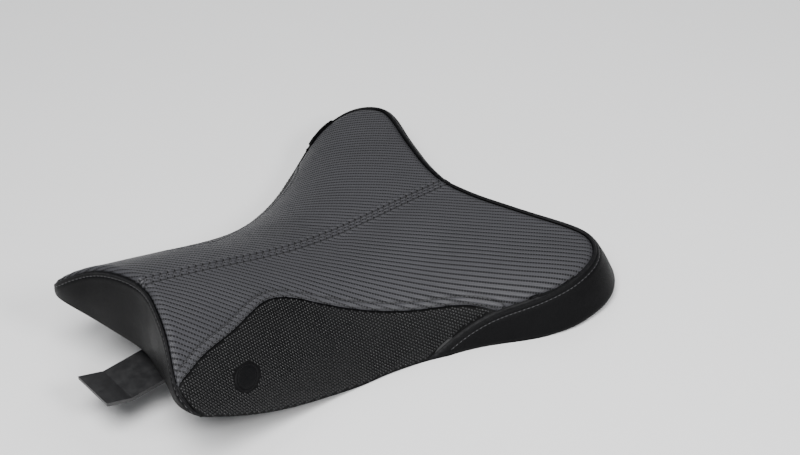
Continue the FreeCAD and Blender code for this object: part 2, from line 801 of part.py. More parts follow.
def button_screw():
    """A button-head screw, head down, with the underside of its head at its origin and a hexagon socket."""
    body = new_body("button_screw", -ORIGIN)
    corners = [
        ("0", "-1 * screw_head_tall"),
        ("screw_head * 0.55", "-1 * screw_head_tall"),
        ("screw_head * 0.85", "screw_head_tall * -0.75"),
        ("screw_head", "screw_head_tall * -0.3"),
        ("screw_head", "0"),
        ("screw_radius", "0"),
        ("screw_radius", "screw_long - 0.6"),
        ("screw_radius - 0.6", "screw_long"),
        ("0", "screw_long"),
    ]
    turned(body, "ScrewProfile", corners)
    hexagon = []
    for step in range(6):
        angle = math.radians(60 * step)
        half_corner = 0.5 / math.cos(math.radians(30))
        hexagon.append(
            (
                f"socket_flats * {half_corner * math.cos(angle):.9f}",
                f"socket_flats * {half_corner * math.sin(angle):.9f}",
            )
        )
    sketch = polygon_sketch(body, "SocketHexagon", "XY_Plane", hexagon)
    sketch.AttachmentOffset = Placement(Vector(0, 0, evaluate("-1 * screw_head_tall")), Rotation())
    sketch.setExpression(".AttachmentOffset.Base.z", bound("-1 * screw_head_tall"))
    doc.recompute()
    before = body.Shape.Volume
    socket = body.newObject("PartDesign::Pocket", "Socket")
    socket.Profile = sketch
    socket.Length = evaluate("screw_head_tall * 0.6")
    socket.setExpression("Length", bound("screw_head_tall * 0.6"))
    socket.Reversed = True
    doc.recompute()
    if not body.Shape.Volume < before - 1:
        raise RuntimeError("the screw's socket cuts nothing")
    return body


def threaded_insert():
    """A brass insert: a plain sleeve from its origin upwards."""
    tube = doc.addObject("Part::Cylinder", "InsertOutside")
    tube.setExpression("Radius", "Dimensions.insert_radius")
    tube.setExpression("Height", "Dimensions.insert_long")
    bore = doc.addObject("Part::Cylinder", "InsertBore")
    bore.setExpression("Radius", "Dimensions.screw_radius + 0.05")
    bore.setExpression("Height", "Dimensions.insert_long")
    sleeve = doc.addObject("Part::Cut", "threaded_insert")
    sleeve.Base = tube
    sleeve.Tool = bore
    return sleeve


def bumper(name, place):
    """A push-in rubber bumper, its stem through the pan and a barb above."""
    body = new_body(name, place)
    grip = 0.2  # slack between the pan and the barb
    corners = [
        ("0", "-1 * bumper_tall"),
        ("bumper_radius - 2", "-1 * bumper_tall"),
        ("bumper_radius", "2 - bumper_tall"),
        ("bumper_radius", "0"),
        ("bumper_stem", "0"),
        ("bumper_stem", f"pan_wall + {grip}"),
        ("bumper_barb", f"pan_wall + {grip}"),
        ("bumper_stem * 0.6", f"pan_wall + bumper_barb_tall + {grip}"),
        ("0", f"pan_wall + bumper_barb_tall + {grip}"),
    ]
    turned(body, "BumperProfile", corners)
    return body


def group(label, source, places):
    """Copies of one piece at several places, as one sub-part of separate solids."""
    copies = []
    for place in places:
        copy = source.Shape.copy()
        copy.Placement = Placement(place, Rotation())
        copies.append(copy)
    return add_shape(label, Part.makeCompound(copies))


def hardware():
    """Everything that is bolted, pressed or screwed to the pan."""
    parts = [rear_plate()[0], front_tongue()[0]]
    for side, sign, _ in SIDES:
        place = Vector(cell("bolt_station"), sign * cell("bolt_side"), cell("plate_low"))
        parts += [grommet(side, place), collar(side, place), bolt_washer(side, place), captive_bolt(side, place)]
        for name, x, y, seat in BUMPERS:
            parts.append(bumper(f"{name}_bumper_{side}", Vector(x, sign * y, seat)))
    screw = button_screw()
    insert = threaded_insert()
    doc.recompute()
    plate_low = cell("plate_low")
    plate_top = plate_low + cell("plate_thick")
    tongue_low = cell("tongue_low")
    tongue_top = tongue_low + cell("tongue_thick")
    parts.append(group("rear_plate_screws", screw, [Vector(x, y, plate_low) for x, y in PLATE_SCREWS]))
    parts.append(group("tongue_screws", screw, [Vector(x, y, tongue_low) for x, y in TONGUE_SCREWS]))
    seats = [Vector(x, y, plate_top) for x, y in PLATE_SCREWS] + [Vector(x, y, tongue_top) for x, y in TONGUE_SCREWS]
    parts.append(group("threaded_inserts", insert, seats))
    return parts


# ---------------------------------------------------------------- build and export


def check_document(parts):
    """Stops the build if any object failed or any sub-part has no valid shape."""
    for thing in doc.Objects:
        if "Invalid" in thing.State or "Error" in thing.State:
            raise RuntimeError(f"{thing.Label} failed: {thing.State}")
    for part in parts:
        if part.Shape.isNull() or not part.Shape.isValid() or not part.Shape.Solids:
            raise RuntimeError(f"{part.Label} has no valid solid")


parts = cover_panels() + [cover_hem(), cover_staples()] + padding() + [base_pan()] + hardware()
doc.recompute()
check_document(parts)
os.makedirs("parts", exist_ok=True)
for part in parts:
    part.Shape.exportStep(f"parts/{part.Label}.step")
    box = part.Shape.optimalBoundingBox()
    print(
        f"{part.Label:24s} solids {len(part.Shape.Solids):3d} volume {part.Shape.Volume:11.0f} "
        f"X {box.XMin:7.1f} {box.XMax:7.1f} Y {box.YMin:7.1f} {box.YMax:7.1f} Z {box.ZMin:6.1f} {box.ZMax:6.1f}"
    )
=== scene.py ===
"""Rider's seat of a sport motorcycle: the sewn cover, its seams and stitches, and every finish.

Shapes are worked out in millimetres at stations along the seat, which start at the rear end of the centre
seam, and become metres in the row frame when a mesh is made.
"""

import math

import bmesh
import bpy
import numpy as np
from mathutils import Matrix, Vector
from mathutils.bvhtree import BVHTree
from mathutils.geometry import delaunay_2d_cdt
from mathutils.kdtree import KDTree


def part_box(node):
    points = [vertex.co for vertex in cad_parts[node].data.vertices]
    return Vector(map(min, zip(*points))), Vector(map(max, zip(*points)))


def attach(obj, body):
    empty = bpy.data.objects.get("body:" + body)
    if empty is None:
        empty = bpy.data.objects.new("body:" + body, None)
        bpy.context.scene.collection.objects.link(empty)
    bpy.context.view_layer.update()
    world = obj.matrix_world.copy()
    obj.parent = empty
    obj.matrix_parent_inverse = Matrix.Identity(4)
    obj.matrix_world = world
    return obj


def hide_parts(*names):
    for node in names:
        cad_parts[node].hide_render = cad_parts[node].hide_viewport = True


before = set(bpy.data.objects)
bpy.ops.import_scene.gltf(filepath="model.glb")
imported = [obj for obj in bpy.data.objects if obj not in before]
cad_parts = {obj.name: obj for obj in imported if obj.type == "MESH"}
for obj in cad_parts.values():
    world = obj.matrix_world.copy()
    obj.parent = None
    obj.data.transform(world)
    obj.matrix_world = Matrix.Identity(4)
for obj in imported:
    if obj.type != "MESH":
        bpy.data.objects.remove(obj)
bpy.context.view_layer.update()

MM = 0.001
TAPE_STATION = 6.0  # station where the tape behind the centre seam starts
ORIGIN = TAPE_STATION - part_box("centre_seam_tape")[0][0] / MM

# ------------------------------------------------------------------ the seat's surfaces

# Station, crown height, half width, height of the flank's end and shoulder power of the cross-sections.
SECTIONS = np.array([
    (-80, 42.5, 157, 29, 5.2), (0, 49, 144, 41, 4.4), (55, 54, 130, 30, 3.9), (110, 59, 117, 6, 3.5),
    (165, 70, 104, -0.5, 3.0), (220, 88, 98, 11, 2.8), (275, 106, 97, 34.5, 2.7), (345, 122, 95, 86, 2.3),
], float)
# Left half of the outline where the bands are sewn on: station, side, and outward lean per millimetre of drop.
OUTLINE = np.array([
    (0, 0, 0.21), (-3.5, 16, 0.21), (-15, 45, 0.23), (-28, 80, 0.28), (-39, 108, 0.36), (-42.5, 130, 0.45),
    (-33, 145.5, 0.50), (-10, 153, 0.48), (21, 148, 0.48), (66, 127, 0.48), (105, 116.5, 0.48),
    (140, 112.5, 0.20), (180, 107.5, 0), (225, 103.5, 0), (270, 102, 0), (302, 99, 0.05), (315, 93, 0.10),
    (318, 85, 0.12), (315.5, 74, 0.12), (306, 54, 0.12), (296.5, 27, 0.12), (291, 0, 0.12),
], float)
THIGH_SEAM = np.array([
    (318, 81.5), (302, 75), (286, 68.6), (253.5, 59.4), (226.5, 49.7), (211, 46), (197, 48), (179, 57),
    (155, 70.6), (130, 84), (108.6, 95), (80, 111), (59, 126.5),
], float)
HEM = np.array([
    (-85, 18), (-50, 9.5), (-15, 4.5), (20, 1.3), (55, 0), (110, 0), (165, 0), (195, 4), (225, 12), (275, 34),
    (318, 62), (350, 88),
], float)


def spline(knots, values, periodic=False):
    """A smooth curve through values at knots, as a function that takes arrays."""
    knots = np.asarray(knots, float)
    values = np.asarray(values, float)
    count = len(knots)
    steps = np.diff(knots)
    slopes = np.diff(values, axis=0) / (steps[:, None] if values.ndim > 1 else steps)
    matrix = np.zeros((count, count))
    right = np.zeros_like(values)
    for i in range(1, count - 1):
        matrix[i, i - 1] = steps[i]
        matrix[i, i] = 2 * (steps[i - 1] + steps[i])
        matrix[i, i + 1] = steps[i - 1]
        right[i] = 3 * (steps[i] * slopes[i - 1] + steps[i - 1] * slopes[i])
    if periodic:
        matrix[0, 1] = steps[-1]
        matrix[0, 0] = 2 * (steps[0] + steps[-1])
        matrix[0, count - 2] = steps[0]
        right[0] = 3 * (steps[-1] * slopes[0] + steps[0] * slopes[-1])
        matrix[-1, -1] = 1
        matrix[-1, 0] = -1
    else:
        for row, picked in ((0, slice(0, 4)), (-1, slice(count - 4, count))):
            base = knots[row]
            powers = np.vander(knots[picked] - base, 4)
            right[row] = np.linalg.solve(powers, values[picked])[2]
            matrix[row, row] = 1
    ends = np.linalg.solve(matrix, right)

    def evaluate(t):
        t = np.asarray(t, float)
        i = np.clip(np.searchsorted(knots, t) - 1, 0, count - 2)
        h = steps[i]
        s = (t - knots[i]) / h
        if values.ndim > 1:
            h, s = h[..., None], s[..., None]
        low, high = values[i], values[i + 1]
        return (
            low * (1 + 2 * s) * (1 - s) ** 2
            + ends[i] * h * s * (1 - s) ** 2
            + high * s**2 * (3 - 2 * s)
            - ends[i + 1] * h * s**2 * (1 - s)
        )

    return evaluate


def chord_spline(points, periodic=False):
    """A smooth curve through points, and the length along its chords of each point."""
    points = np.asarray(points, float)
    lengths = np.concatenate([[0], np.cumsum(np.linalg.norm(np.diff(points[:, :2], axis=0), axis=1))])
    return spline(lengths, points, periodic), lengths


mirrored = OUTLINE[-2:0:-1] * np.array([1, -1, 1])
outline, outline_lengths = chord_spline(np.concatenate([OUTLINE, mirrored, OUTLINE[:1]]), periodic=True)
crown, half_width, flank_end, shoulder = (spline(SECTIONS[:, 0], SECTIONS[:, k]) for k in range(1, 5))
hem_height = spline(HEM[:, 0], HEM[:, 1])


def hem(x):
    """Height of the cover's lower edge."""
    return np.maximum(hem_height(x), 0) * (np.abs(x - 110) > 55)


ROUND_DROP = 2.6  # how far the top's edge is rounded down at the front of each lobe
ROUND_REACH = 7.5


def round_off():
    """Places along the edge, as a tree, and how much of the rounding each has."""
    lengths = outline_lengths
    t = np.linspace(0, lengths[len(OUTLINE) - 1], 1500)
    tree = KDTree(len(t))
    for i, place in enumerate(outline(t)):
        tree.insert((place[0], place[1], 0.0), i)
    tree.balance()
    rise = np.clip((t - lengths[5]) / (lengths[8] - lengths[5]), 0, 1)
    fall = np.clip((lengths[11] - t) / (lengths[11] - lengths[10]), 0, 1)
    return tree, (rise * fall) ** 2 * (3 - 2 * rise * fall)


def top(x, y):
    """Height of the cover before it is padded."""
    x, y = np.broadcast_arrays(np.asarray(x, float), np.abs(y))
    drop = crown(x) - flank_end(x)
    height = crown(x) - drop * (y / half_width(x)) ** shoulder(x)
    near = (x > -60) & (x < 160) & (y > 90)
    found = [edge_tree.find((a, b, 0.0)) for a, b in zip(x[near], y[near])]
    share = np.array([edge_share[f[1]] * math.exp(-((f[2] / ROUND_REACH) ** 2)) for f in found])
    height[near] -= ROUND_DROP * share
    return height


edge_tree, edge_share = round_off()


# Arc length round each cross-section, from the middle line, on a table of stations and shares of the half width.
TABLE_X = np.arange(-80, 346, 1.0)
TABLE_SHARE = np.linspace(0, 1.24, 497)
table_y = TABLE_SHARE * half_width(TABLE_X)[:, None]
table_z = top(TABLE_X[:, None] + 0 * table_y, table_y)
table_step = np.hypot(np.diff(table_y, axis=1), np.diff(table_z, axis=1))
TABLE_ARC = np.concatenate([np.zeros((len(TABLE_X), 1)), np.cumsum(table_step, axis=1)], axis=1)


def arc_of_share(x, share):
    """Arc length from the middle line at a station, for a share of the half width."""
    i = np.clip((x - TABLE_X[0]).astype(int), 0, len(TABLE_X) - 2)
    fx = x - TABLE_X[i]
    step = TABLE_SHARE[1]
    j = np.clip((share / step).astype(int), 0, len(TABLE_SHARE) - 2)
    fs = share / step - j
    rear = TABLE_ARC[i, j] * (1 - fs) + TABLE_ARC[i, j + 1] * fs
    front = TABLE_ARC[i + 1, j] * (1 - fs) + TABLE_ARC[i + 1, j + 1] * fs
    return rear * (1 - fx) + front * fx


def arc(x, y):
    """Arc length from the middle line to a place, for arrays of station and side."""
    x = np.asarray(x, float)
    return arc_of_share(x, np.abs(y) / half_width(x))


def side(x, s):
    """Side at a station for an arc length: the reverse of arc."""
    low = np.zeros_like(s)
    high = np.full_like(s, TABLE_SHARE[-1])
    for _ in range(28):
        middle = (low + high) / 2
        under = arc_of_share(x, middle) < s
        low = np.where(under, middle, low)
        high = np.where(under, high, middle)
    return (low + high) / 2 * half_width(x)


def on_top(flat):
    """Places on the cover for pairs of station and arc length."""
    x, s = flat[..., 0], flat[..., 1]
    y = side(x, s)
    return np.stack([x, y, top(x, y)], axis=-1)


# ------------------------------------------------------------------ outline of the bands

NOSE_MIDDLE = outline_lengths[len(OUTLINE) - 1]
AROUND = outline_lengths[-1]


OVERHANG = 6.0  # how far the edge stands out at the notch in the tail, over a foot that stays in line
OVERHANG_REACH = 30.0  # how far along the edge it fades out


def crease(t):
    """Where the side wall meets the top: place, outward direction in plan, and lean."""
    t = np.asarray(t, float) % AROUND
    here = outline(t)
    ahead = outline((t + 0.5) % AROUND) - outline((t - 0.5) % AROUND)
    outward = np.stack([-ahead[:, 1], ahead[:, 0]], axis=-1)
    outward /= np.linalg.norm(outward, axis=1)[:, None]
    reach = np.minimum(np.abs(here[:, 1]), 1.05 * half_width(here[:, 0]))
    from_back = np.minimum(t, AROUND - t)
    more = OVERHANG * np.exp(-((from_back / OVERHANG_REACH) ** 2))
    x, y = here[:, 0] + outward[:, 0] * more, here[:, 1] + outward[:, 1] * more
    z = top(x, reach)
    return np.stack([x, y, z], axis=-1), outward, here[:, 2] - more / np.maximum(z - hem(here[:, 0]), 10)


def wall(t, z):
    """Places on the side wall at heights z."""
    place, outward, lean = crease(t)
    reach = lean * (place[:, 2] - z)
    return np.stack([place[:, 0] + outward[:, 0] * reach, place[:, 1] + outward[:, 1] * reach, z], axis=-1)


def wall_foot(t, lift):
    """Places on the side wall at a height above the hem."""
    z = hem(crease(t)[0][:, 0])
    for _ in range(4):
        z = hem(wall(t, z)[:, 0])
    return wall(t, z + lift)


# The rear band ends, and the nose band starts, where the crease comes down to the hem.
FOLD = 1.2  # height of the rounded fold at the hem
samples = np.linspace(0, NOSE_MIDDLE, 4000)
clear = crease(samples)[0][:, 2] - wall_foot(samples, FOLD)[:, 2]
above_hem = clear > 0.4
gap_start = int(np.argmin(above_hem))
gap_end = len(samples) - int(np.argmin(above_hem[::-1]))
REAR_END = samples[gap_start]
NOSE_START = samples[gap_end]


def nearest(points, line):
    """Distance from each of points to a line of dense points, and the index of the nearest."""
    tree = KDTree(len(line))
    for i, place in enumerate(line):
        tree.insert((place[0], place[1], 0.0), i)
    tree.balance()
    found = [tree.find((p[0], p[1], 0.0)) for p in points]
    return np.array([f[2] for f in found]), np.array([f[1] for f in found])


def resample(line, spacing):
    """Points along a polyline at about a spacing, and the spacing itself."""
    lengths = np.concatenate([[0], np.cumsum(np.linalg.norm(np.diff(line, axis=0), axis=1))])
    count = max(int(round(lengths[-1] / spacing)), 1)
    wanted = np.linspace(0, lengths[-1], count + 1)
    return np.stack([np.interp(wanted, lengths, line[:, k]) for k in range(line.shape[1])], axis=-1)


# ------------------------------------------------------------------ seam lines

crease_samples = np.linspace(0, NOSE_MIDDLE, 2400)
crease_places = crease(crease_samples)[0]


def crease_at(plan, low=0.0, high=NOSE_MIDDLE):
    """Parameter of the crease nearest to a place in plan."""
    away = np.linalg.norm(crease_places[:, :2] - np.asarray(plan, float), axis=1)
    away = away + 1e3 * ((crease_samples < low) | (crease_samples > high))
    return crease_samples[np.argmin(away)]


INSET_FADE = (4, 8)  # places of OUTLINE between which the inset below fades
BAND_INSET = 4.0  # the rear band's seam lies this far inside the edge that the band rolls over
junction_t = crease_at(THIGH_SEAM[-1], high=REAR_END)
nose_corner_t = crease_at(THIGH_SEAM[0], low=NOSE_START)
junction_plan = crease(np.array([junction_t]))[0][0, :2]
corner_plan = crease(np.array([nose_corner_t]))[0][0, :2]


def band_inset(t):
    """How far inside the edge the rear band's seam lies: it runs out to the edge at the thigh seam."""
    start, end = (outline_lengths[k] for k in INSET_FADE)
    share = np.clip((end - t) / (end - start), 0, 1)
    return BAND_INSET * share * share * (3 - 2 * share)


def rear_seam(t):
    """The rear band's seam on the top, in plan."""
    place, outward, _ = crease(t)
    return place[:, :2] - outward * band_inset(t)[:, None]


def flat_of(plan):
    """Pairs of station and arc length for places in plan."""
    return np.stack([plan[:, 0], arc(plan[:, 0], plan[:, 1])], axis=-1)


def thigh_line():
    """The seam between the top and the thigh panel, in plan, from the rear."""
    knots = THIGH_SEAM[::-1].copy()
    knots[0], knots[-1] = junction_plan, corner_plan
    curve, lengths = chord_spline(knots)
    return curve(np.linspace(0, lengths[-1], 1200))


def hem_side(x):
    """Side at which the cover's top comes down to the fold at the hem."""
    low, high = np.zeros_like(x), 1.2 * half_width(x)
    for _ in range(30):
        middle = (low + high) / 2
        above = top(x, middle) > hem(x) + FOLD
        low, high = np.where(above, middle, low), np.where(above, high, middle)
    return (low + high) / 2


FINE = 0.35  # spacing of the seam lines' own points
thigh_flat = resample(flat_of(thigh_line()), FINE)
rear_flat = resample(flat_of(rear_seam(np.linspace(0, junction_t, 1500))), FINE)
nose_flat = resample(flat_of(crease(np.linspace(NOSE_MIDDLE, nose_corner_t, 900))[0][:, :2]), FINE)
centre_flat = resample(np.array([rear_flat[0], nose_flat[0]]), FINE)
flank_x = np.linspace(crease(np.array([REAR_END]))[0][0, 0], crease(np.array([NOSE_START]))[0][0, 0], 900)
flank_plan = np.stack([flank_x, hem_side(flank_x)], axis=-1)
rear_crease = crease(np.linspace(junction_t, REAR_END, 500))[0][:, :2]
front_crease = crease(np.linspace(NOSE_START, nose_corner_t, 300))[0][:, :2]
band_edge_flat = resample(flat_of(rear_crease), FINE)
hem_flat = resample(flat_of(flank_plan), FINE)
front_flat = resample(flat_of(front_crease), FINE)

# ------------------------------------------------------------------ relief along the seams


def hump(d, middle, width):
    """A smooth hump at a distance from a seam."""
    return np.exp(-(((d - middle) / width) ** 2))


CENTRE_ROW = 3.5  # distance of the stitches from the centre seam
LAP_ROWS = (1.45, 6.4)  # distances of the two rows of stitches from the thigh seam


def centre_relief(d):
    """Both panels are turned under at the centre seam and stitched down on either side."""
    ridge = 0.95 * hump(d, 1.5, 0.95)
    groove = -0.9 * hump(d, 0, 0.5)
    trough = -1.15 * hump(d, CENTRE_ROW, 0.75)
    return ridge + groove + trough + 0.6 * hump(d, 6.0, 1.7)


def lap_relief(d):
    """The top panel is folded over the thigh panel and stitched down by two rows."""
    edge = -0.8 * hump(d, 0, 0.4)
    swell = 0.5 * hump(d, 3.9, 1.9)
    rows = -0.3 * hump(d, 1.4, 0.5) - 0.5 * hump(d, 6.4, 0.9)
    return edge + swell + rows + 0.3 * hump(d, 9.8, 2.6) + 0.3 * hump(d, 0.8, 1.6)


def under_relief(d):
    """The thigh panel runs down below the top panel's folded edge."""
    return -1.1 * hump(d, 0, 1.2) + 0.25 * hump(d, 5.5, 2.5)


def tucked_relief(d):
    """A panel that runs down into a seam whose bead is on the other side."""
    return -1.3 * hump(d, 0, 1.6) + 0.35 * hump(d, 6.5, 3.2)


NOSE_ROUND = 9.0  # setback of the rounded edge at the nose
NOSE_SPLIT = 0.62  # share of the rounding that belongs to the panels above the nose seam

nose_run = np.linspace(NOSE_START, NOSE_MIDDLE, 900)
nose_places, nose_outward, _ = crease(nose_run)
nose_line_flat = flat_of(nose_places[:, :2])
nose_down = wall_foot(nose_run, FOLD) - nose_places
nose_height = np.linalg.norm(nose_down, axis=1)
nose_down /= np.maximum(nose_height, 1e-6)[:, None]
nose_setback = np.minimum(NOSE_ROUND, 0.42 * nose_height)
nose_inward = np.concatenate([-nose_outward, np.zeros((len(nose_run), 1))], axis=-1)
nose_step = on_top(flat_of((nose_places + 3 * nose_inward)[:, :2])) - nose_places
nose_inward = nose_step / np.linalg.norm(nose_step, axis=1)[:, None]


def rolled(flat):
    """Places for a flat pattern, with the part near the nose rolled over the rounded edge."""
    places = on_top(flat)
    away, index = nearest(flat, nose_line_flat)
    setback = np.maximum(nose_setback[index], 1e-6)
    tau = NOSE_SPLIT * np.clip(1 - away / setback, 0, 1)
    start = nose_places[index] + nose_inward[index] * setback[:, None]
    offset = nose_inward[index] * (setback * ((1 - tau) ** 2 - 1))[:, None]
    offset = offset + nose_down[index] * (setback * tau**2)[:, None]
    along = places - nose_places[index] - nose_inward[index] * away[:, None]
    near = (away < setback)[:, None]
    return np.where(near, start + offset + along * np.clip(away / setback, 0, 1)[:, None], places)


def wander(places, seed):
    """Slight unevenness of a hand-stretched cover, smooth over some centimetres."""
    random = np.random.default_rng(seed)
    total = np.zeros(len(places))
    waves = 14
    for _ in range(waves):
        direction = random.normal(size=3)
        direction /= np.linalg.norm(direction)
        length = random.uniform(38, 95)
        total += np.sin(2 * math.pi * (places @ direction) / length + random.uniform(0, 2 * math.pi))
    return total / math.sqrt(waves)


# ------------------------------------------------------------------ meshes


def to_frame(places):
    """Stations in millimetres to metres in the row frame."""
    return (places - np.array([ORIGIN, 0, 0])) * MM


def build_mesh(name, verts, faces, uvs=None, wear_and_shade=None):
    """A smooth mesh object from arrays of vertices in metres and lists of faces."""
    mesh = bpy.data.meshes.new(name)
    mesh.from_pydata(np.asarray(verts, float).tolist(), [], faces)
    if uvs is not None:
        layer = mesh.uv_layers.new(name="cut")
        loops = np.zeros(len(mesh.loops), int)
        mesh.loops.foreach_get("vertex_index", loops)
        layer.data.foreach_set("uv", np.asarray(uvs, float)[loops].ravel())
    if wear_and_shade is not None:
        mesh.attributes.new("wear_and_shade", "FLOAT", "POINT").data.foreach_set("value", np.asarray(wear_and_shade, float))
    mesh.polygons.foreach_set("use_smooth", np.ones(len(mesh.polygons), bool))
    mesh.update()
    obj = bpy.data.objects.new(name, mesh)
    bpy.context.scene.collection.objects.link(obj)
    return obj


def vertex_normals(places, faces):
    """Unit normals of a triangle mesh's points."""
    a, b, c = (places[faces[:, k]] for k in range(3))
    n = np.cross(b - a, c - a)
    total = np.zeros_like(places)
    for k in range(3):
        np.add.at(total, faces[:, k], n)
    return total / np.maximum(np.linalg.norm(total, axis=1), 1e-12)[:, None]


RINGS = (0.0, 0.22, 0.48, 0.8, 1.15, 1.55, 2.0, 2.5, 3.0, 3.5, 4.0, 4.5, 5.0, 5.5, 6.0, 6.5, 7.0, 7.6, 8.3, 9.1, 10.0)


def triangulate(loop, spacing, inside_spacing, rings):
    """Points and triangles that fill a closed loop of the flat pattern, in rings near its edge."""
    loop = np.asarray(loop)
    edge = resample(np.concatenate([loop, loop[:1]]), spacing)[:-1]
    dense = resample(np.concatenate([loop, loop[:1]]), 0.25)
    ahead = np.roll(dense, -3, axis=0) - np.roll(dense, 3, axis=0)
    inward = np.stack([-ahead[:, 1], ahead[:, 0]], axis=-1)
    inward /= np.maximum(np.linalg.norm(inward, axis=1), 1e-9)[:, None]
    points = [edge]
    polygon = edge
    for number, ring in enumerate(rings[1:]):
        pitch = max(spacing, 0.6) * (1 + 0.06 * number)
        step = max(int(pitch / 0.25), 1)
        start = (number % 2) * step // 2
        offset = (dense + inward * ring)[start::step]
        away = nearest(offset, dense)[0]
        points.append(offset[np.abs(away - ring) < 0.12 * ring + 0.02])
    low, high = edge.min(axis=0), edge.max(axis=0)
    xs = np.arange(low[0], high[0], inside_spacing)
    ys = np.arange(low[1], high[1], inside_spacing * 0.866)
    gx, gy = np.meshgrid(xs, ys, indexing="ij")
    gx = gx + (np.arange(len(ys)) % 2)[None] * inside_spacing / 2
    inner = np.stack([gx.ravel(), gy.ravel()], axis=-1)
    inner = inner[contains(polygon, inner)]
    away = nearest(inner, dense)[0]
    points.append(inner[away > rings[-1] + 0.6 * inside_spacing])
    points = np.concatenate(points)
    keep = np.ones(len(points), bool)
    keep[len(edge) :] = contains(polygon, points[len(edge) :])
    points = points[keep]
    count = len(edge)
    border = [(i, (i + 1) % count) for i in range(count)]
    made = delaunay_2d_cdt([Vector(p) for p in points], border, [], 1, 1e-5)
    verts = np.array([tuple(v) for v in made[0]])
    faces = np.array([f for f in made[2] if len(f) == 3])
    a, b, c = (verts[faces[:, k]] for k in range(3))
    size = (b[:, 0] - a[:, 0]) * (c[:, 1] - a[:, 1]) - (b[:, 1] - a[:, 1]) * (c[:, 0] - a[:, 0])
    faces = faces[np.abs(size) > 1e-7]
    size = size[np.abs(size) > 1e-7]
    faces[size < 0] = faces[size < 0][:, ::-1]
    return verts, faces


def contains(polygon, points):
    """Which points lie inside a closed polygon."""
    inside = np.zeros(len(points), bool)
    following = np.roll(polygon, -1, axis=0)
    x, y = points[:, 0], points[:, 1]
    for (x1, y1), (x2, y2) in zip(polygon, following):
        if y1 == y2:
            continue
        crosses = (y1 > y) != (y2 > y)
        inside ^= crosses & (x < (x2 - x1) * (y - y1) / (y2 - y1) + x1)
    return inside


def chain(*lines):
    """One closed loop from lines that follow each other."""
    return np.concatenate([line[:-1] for line in lines])


def swell(name, loop, places_of, verts, most, pressure=4.0):
    """How far a padded panel stands out between its seams.

    A cloth simulation on a coarse copy of the panel gives how the swelling is spread. Its amount is not
    simulated: the largest movement is scaled to `most`, whatever the simulation gave.
    """
    flat, faces = triangulate(loop, 5.0, 5.5, (0.0,))
    coarse = places_of(flat)
    outward = vertex_normals(coarse, faces)
    obj = build_mesh("swelling_" + name, coarse * MM, faces.tolist())
    bm = bmesh.new()
    bm.from_mesh(obj.data)
    border = [v.index for v in bm.verts if v.is_boundary]
    bm.free()
    held = obj.vertex_groups.new(name="held")
    held.add(border, 1.0, "REPLACE")
    settings = obj.modifiers.new("cloth", "CLOTH").settings
    settings.quality = 6
    settings.mass = 0.4
    settings.tension_stiffness = settings.compression_stiffness = 30
    settings.shear_stiffness = 10
    settings.bending_stiffness = 4
    settings.use_pressure = True
    settings.uniform_pressure_force = pressure
    settings.vertex_group_mass = "held"
    settings.effector_weights.gravity = 0
    scene = bpy.context.scene
    for number in range(1, 21):
        scene.frame_set(number)
    result = obj.evaluated_get(bpy.context.evaluated_depsgraph_get()).to_mesh()
    moved = np.zeros(len(result.vertices) * 3)
    result.vertices.foreach_get("co", moved)
    scene.frame_set(1)
    bpy.data.objects.remove(obj)
    lift = ((moved.reshape(-1, 3) / MM - coarse) * outward).sum(axis=1)
    print("cloth", name, "moved out", round(float(lift.max()), 2), "mm before it is scaled")
    lift = np.clip(lift / max(np.abs(lift).max(), 1e-6), -0.2, 1) * most
    index, weights = barycentric(flat, faces, verts)
    return (lift[index] * weights).sum(axis=1)


def barycentric(flat, faces, points):
    """For points of the flat pattern, the corners of the triangle each is in, and their weights."""
    tree = BVHTree.FromPolygons([(p[0], p[1], 0.0) for p in flat], faces.tolist())
    found = [tree.find_nearest((p[0], p[1], 0.0)) for p in points]
    place = np.array([f[0][:2] for f in found])
    index = faces[np.array([f[2] for f in found])]
    a, b, c = (flat[index[:, k]] for k in range(3))
    area = np.cross(b - a, c - a)
    area = np.where(np.abs(area) < 1e-12, 1e-12, area)
    wb = np.cross(place - a, c - a) / area
    wc = np.cross(b - a, place - a) / area
    return index, np.stack([1 - wb - wc, wb, wc], axis=-1)


class Panel:
    """One cut piece of the cover: its flat pattern, where it lies, and its outward side."""

    def __init__(self, flat, places, faces):
        self.flat, self.places, self.faces = flat, places, faces
        self.normals = vertex_normals(places, faces)

    def at(self, points):
        """Places on the sewn cover, and outward directions, for points of the flat pattern."""
        index, weights = barycentric(self.flat, self.faces, points)
        place = (self.places[index] * weights[..., None]).sum(axis=1)
        out = (self.normals[index] * weights[..., None]).sum(axis=1)
        return place, out / np.linalg.norm(out, axis=1)[:, None]


def rimmed(panel, depth):
    """A panel's places and faces with a rim that runs down into its seams."""
    edges = {}
    for face in panel.faces.tolist():
        for a, b in zip(face, face[1:] + face[:1]):
            edges[(a, b)] = (b, a) not in edges
            if (b, a) in edges:
                edges[(b, a)] = edges[(a, b)] = False
    border = [edge for edge, single in edges.items() if single]
    corners = sorted({a for edge in border for a in edge})
    number = {a: len(panel.places) + i for i, a in enumerate(corners)}
    rim = panel.places[corners] - panel.normals[corners] * depth[corners][:, None]
    places = np.concatenate([panel.places, rim])
    flat = np.concatenate([panel.flat, panel.flat[corners]])
    faces = panel.faces.tolist() + [[b, a, number[a], number[b]] for a, b in border]
    return flat, places, faces, np.array(corners)


def sewn(name, panel, mirror, wear_and_shade, depth):
    """A panel's object, on the left or mirrored to the right, with its rim running down into its seams."""
    flat, places, faces, corners = rimmed(panel, depth)
    sign = -1 if mirror else 1
    if mirror:
        faces = [face[::-1] for face in faces]
    wear_and_shade = np.concatenate([wear_and_shade, wear_and_shade[corners] * 0])
    turn = np.array([1, sign])
    return build_mesh(name, to_frame(places * np.array([1, sign, 1])), faces, flat * turn * MM, wear_and_shade)


STITCH_PITCH = 3.6
STITCH_LONG = 2.7
THREAD = 0.36  # radius of the thread
HOLE = 0.5  # radius of the hollow that the needle leaves


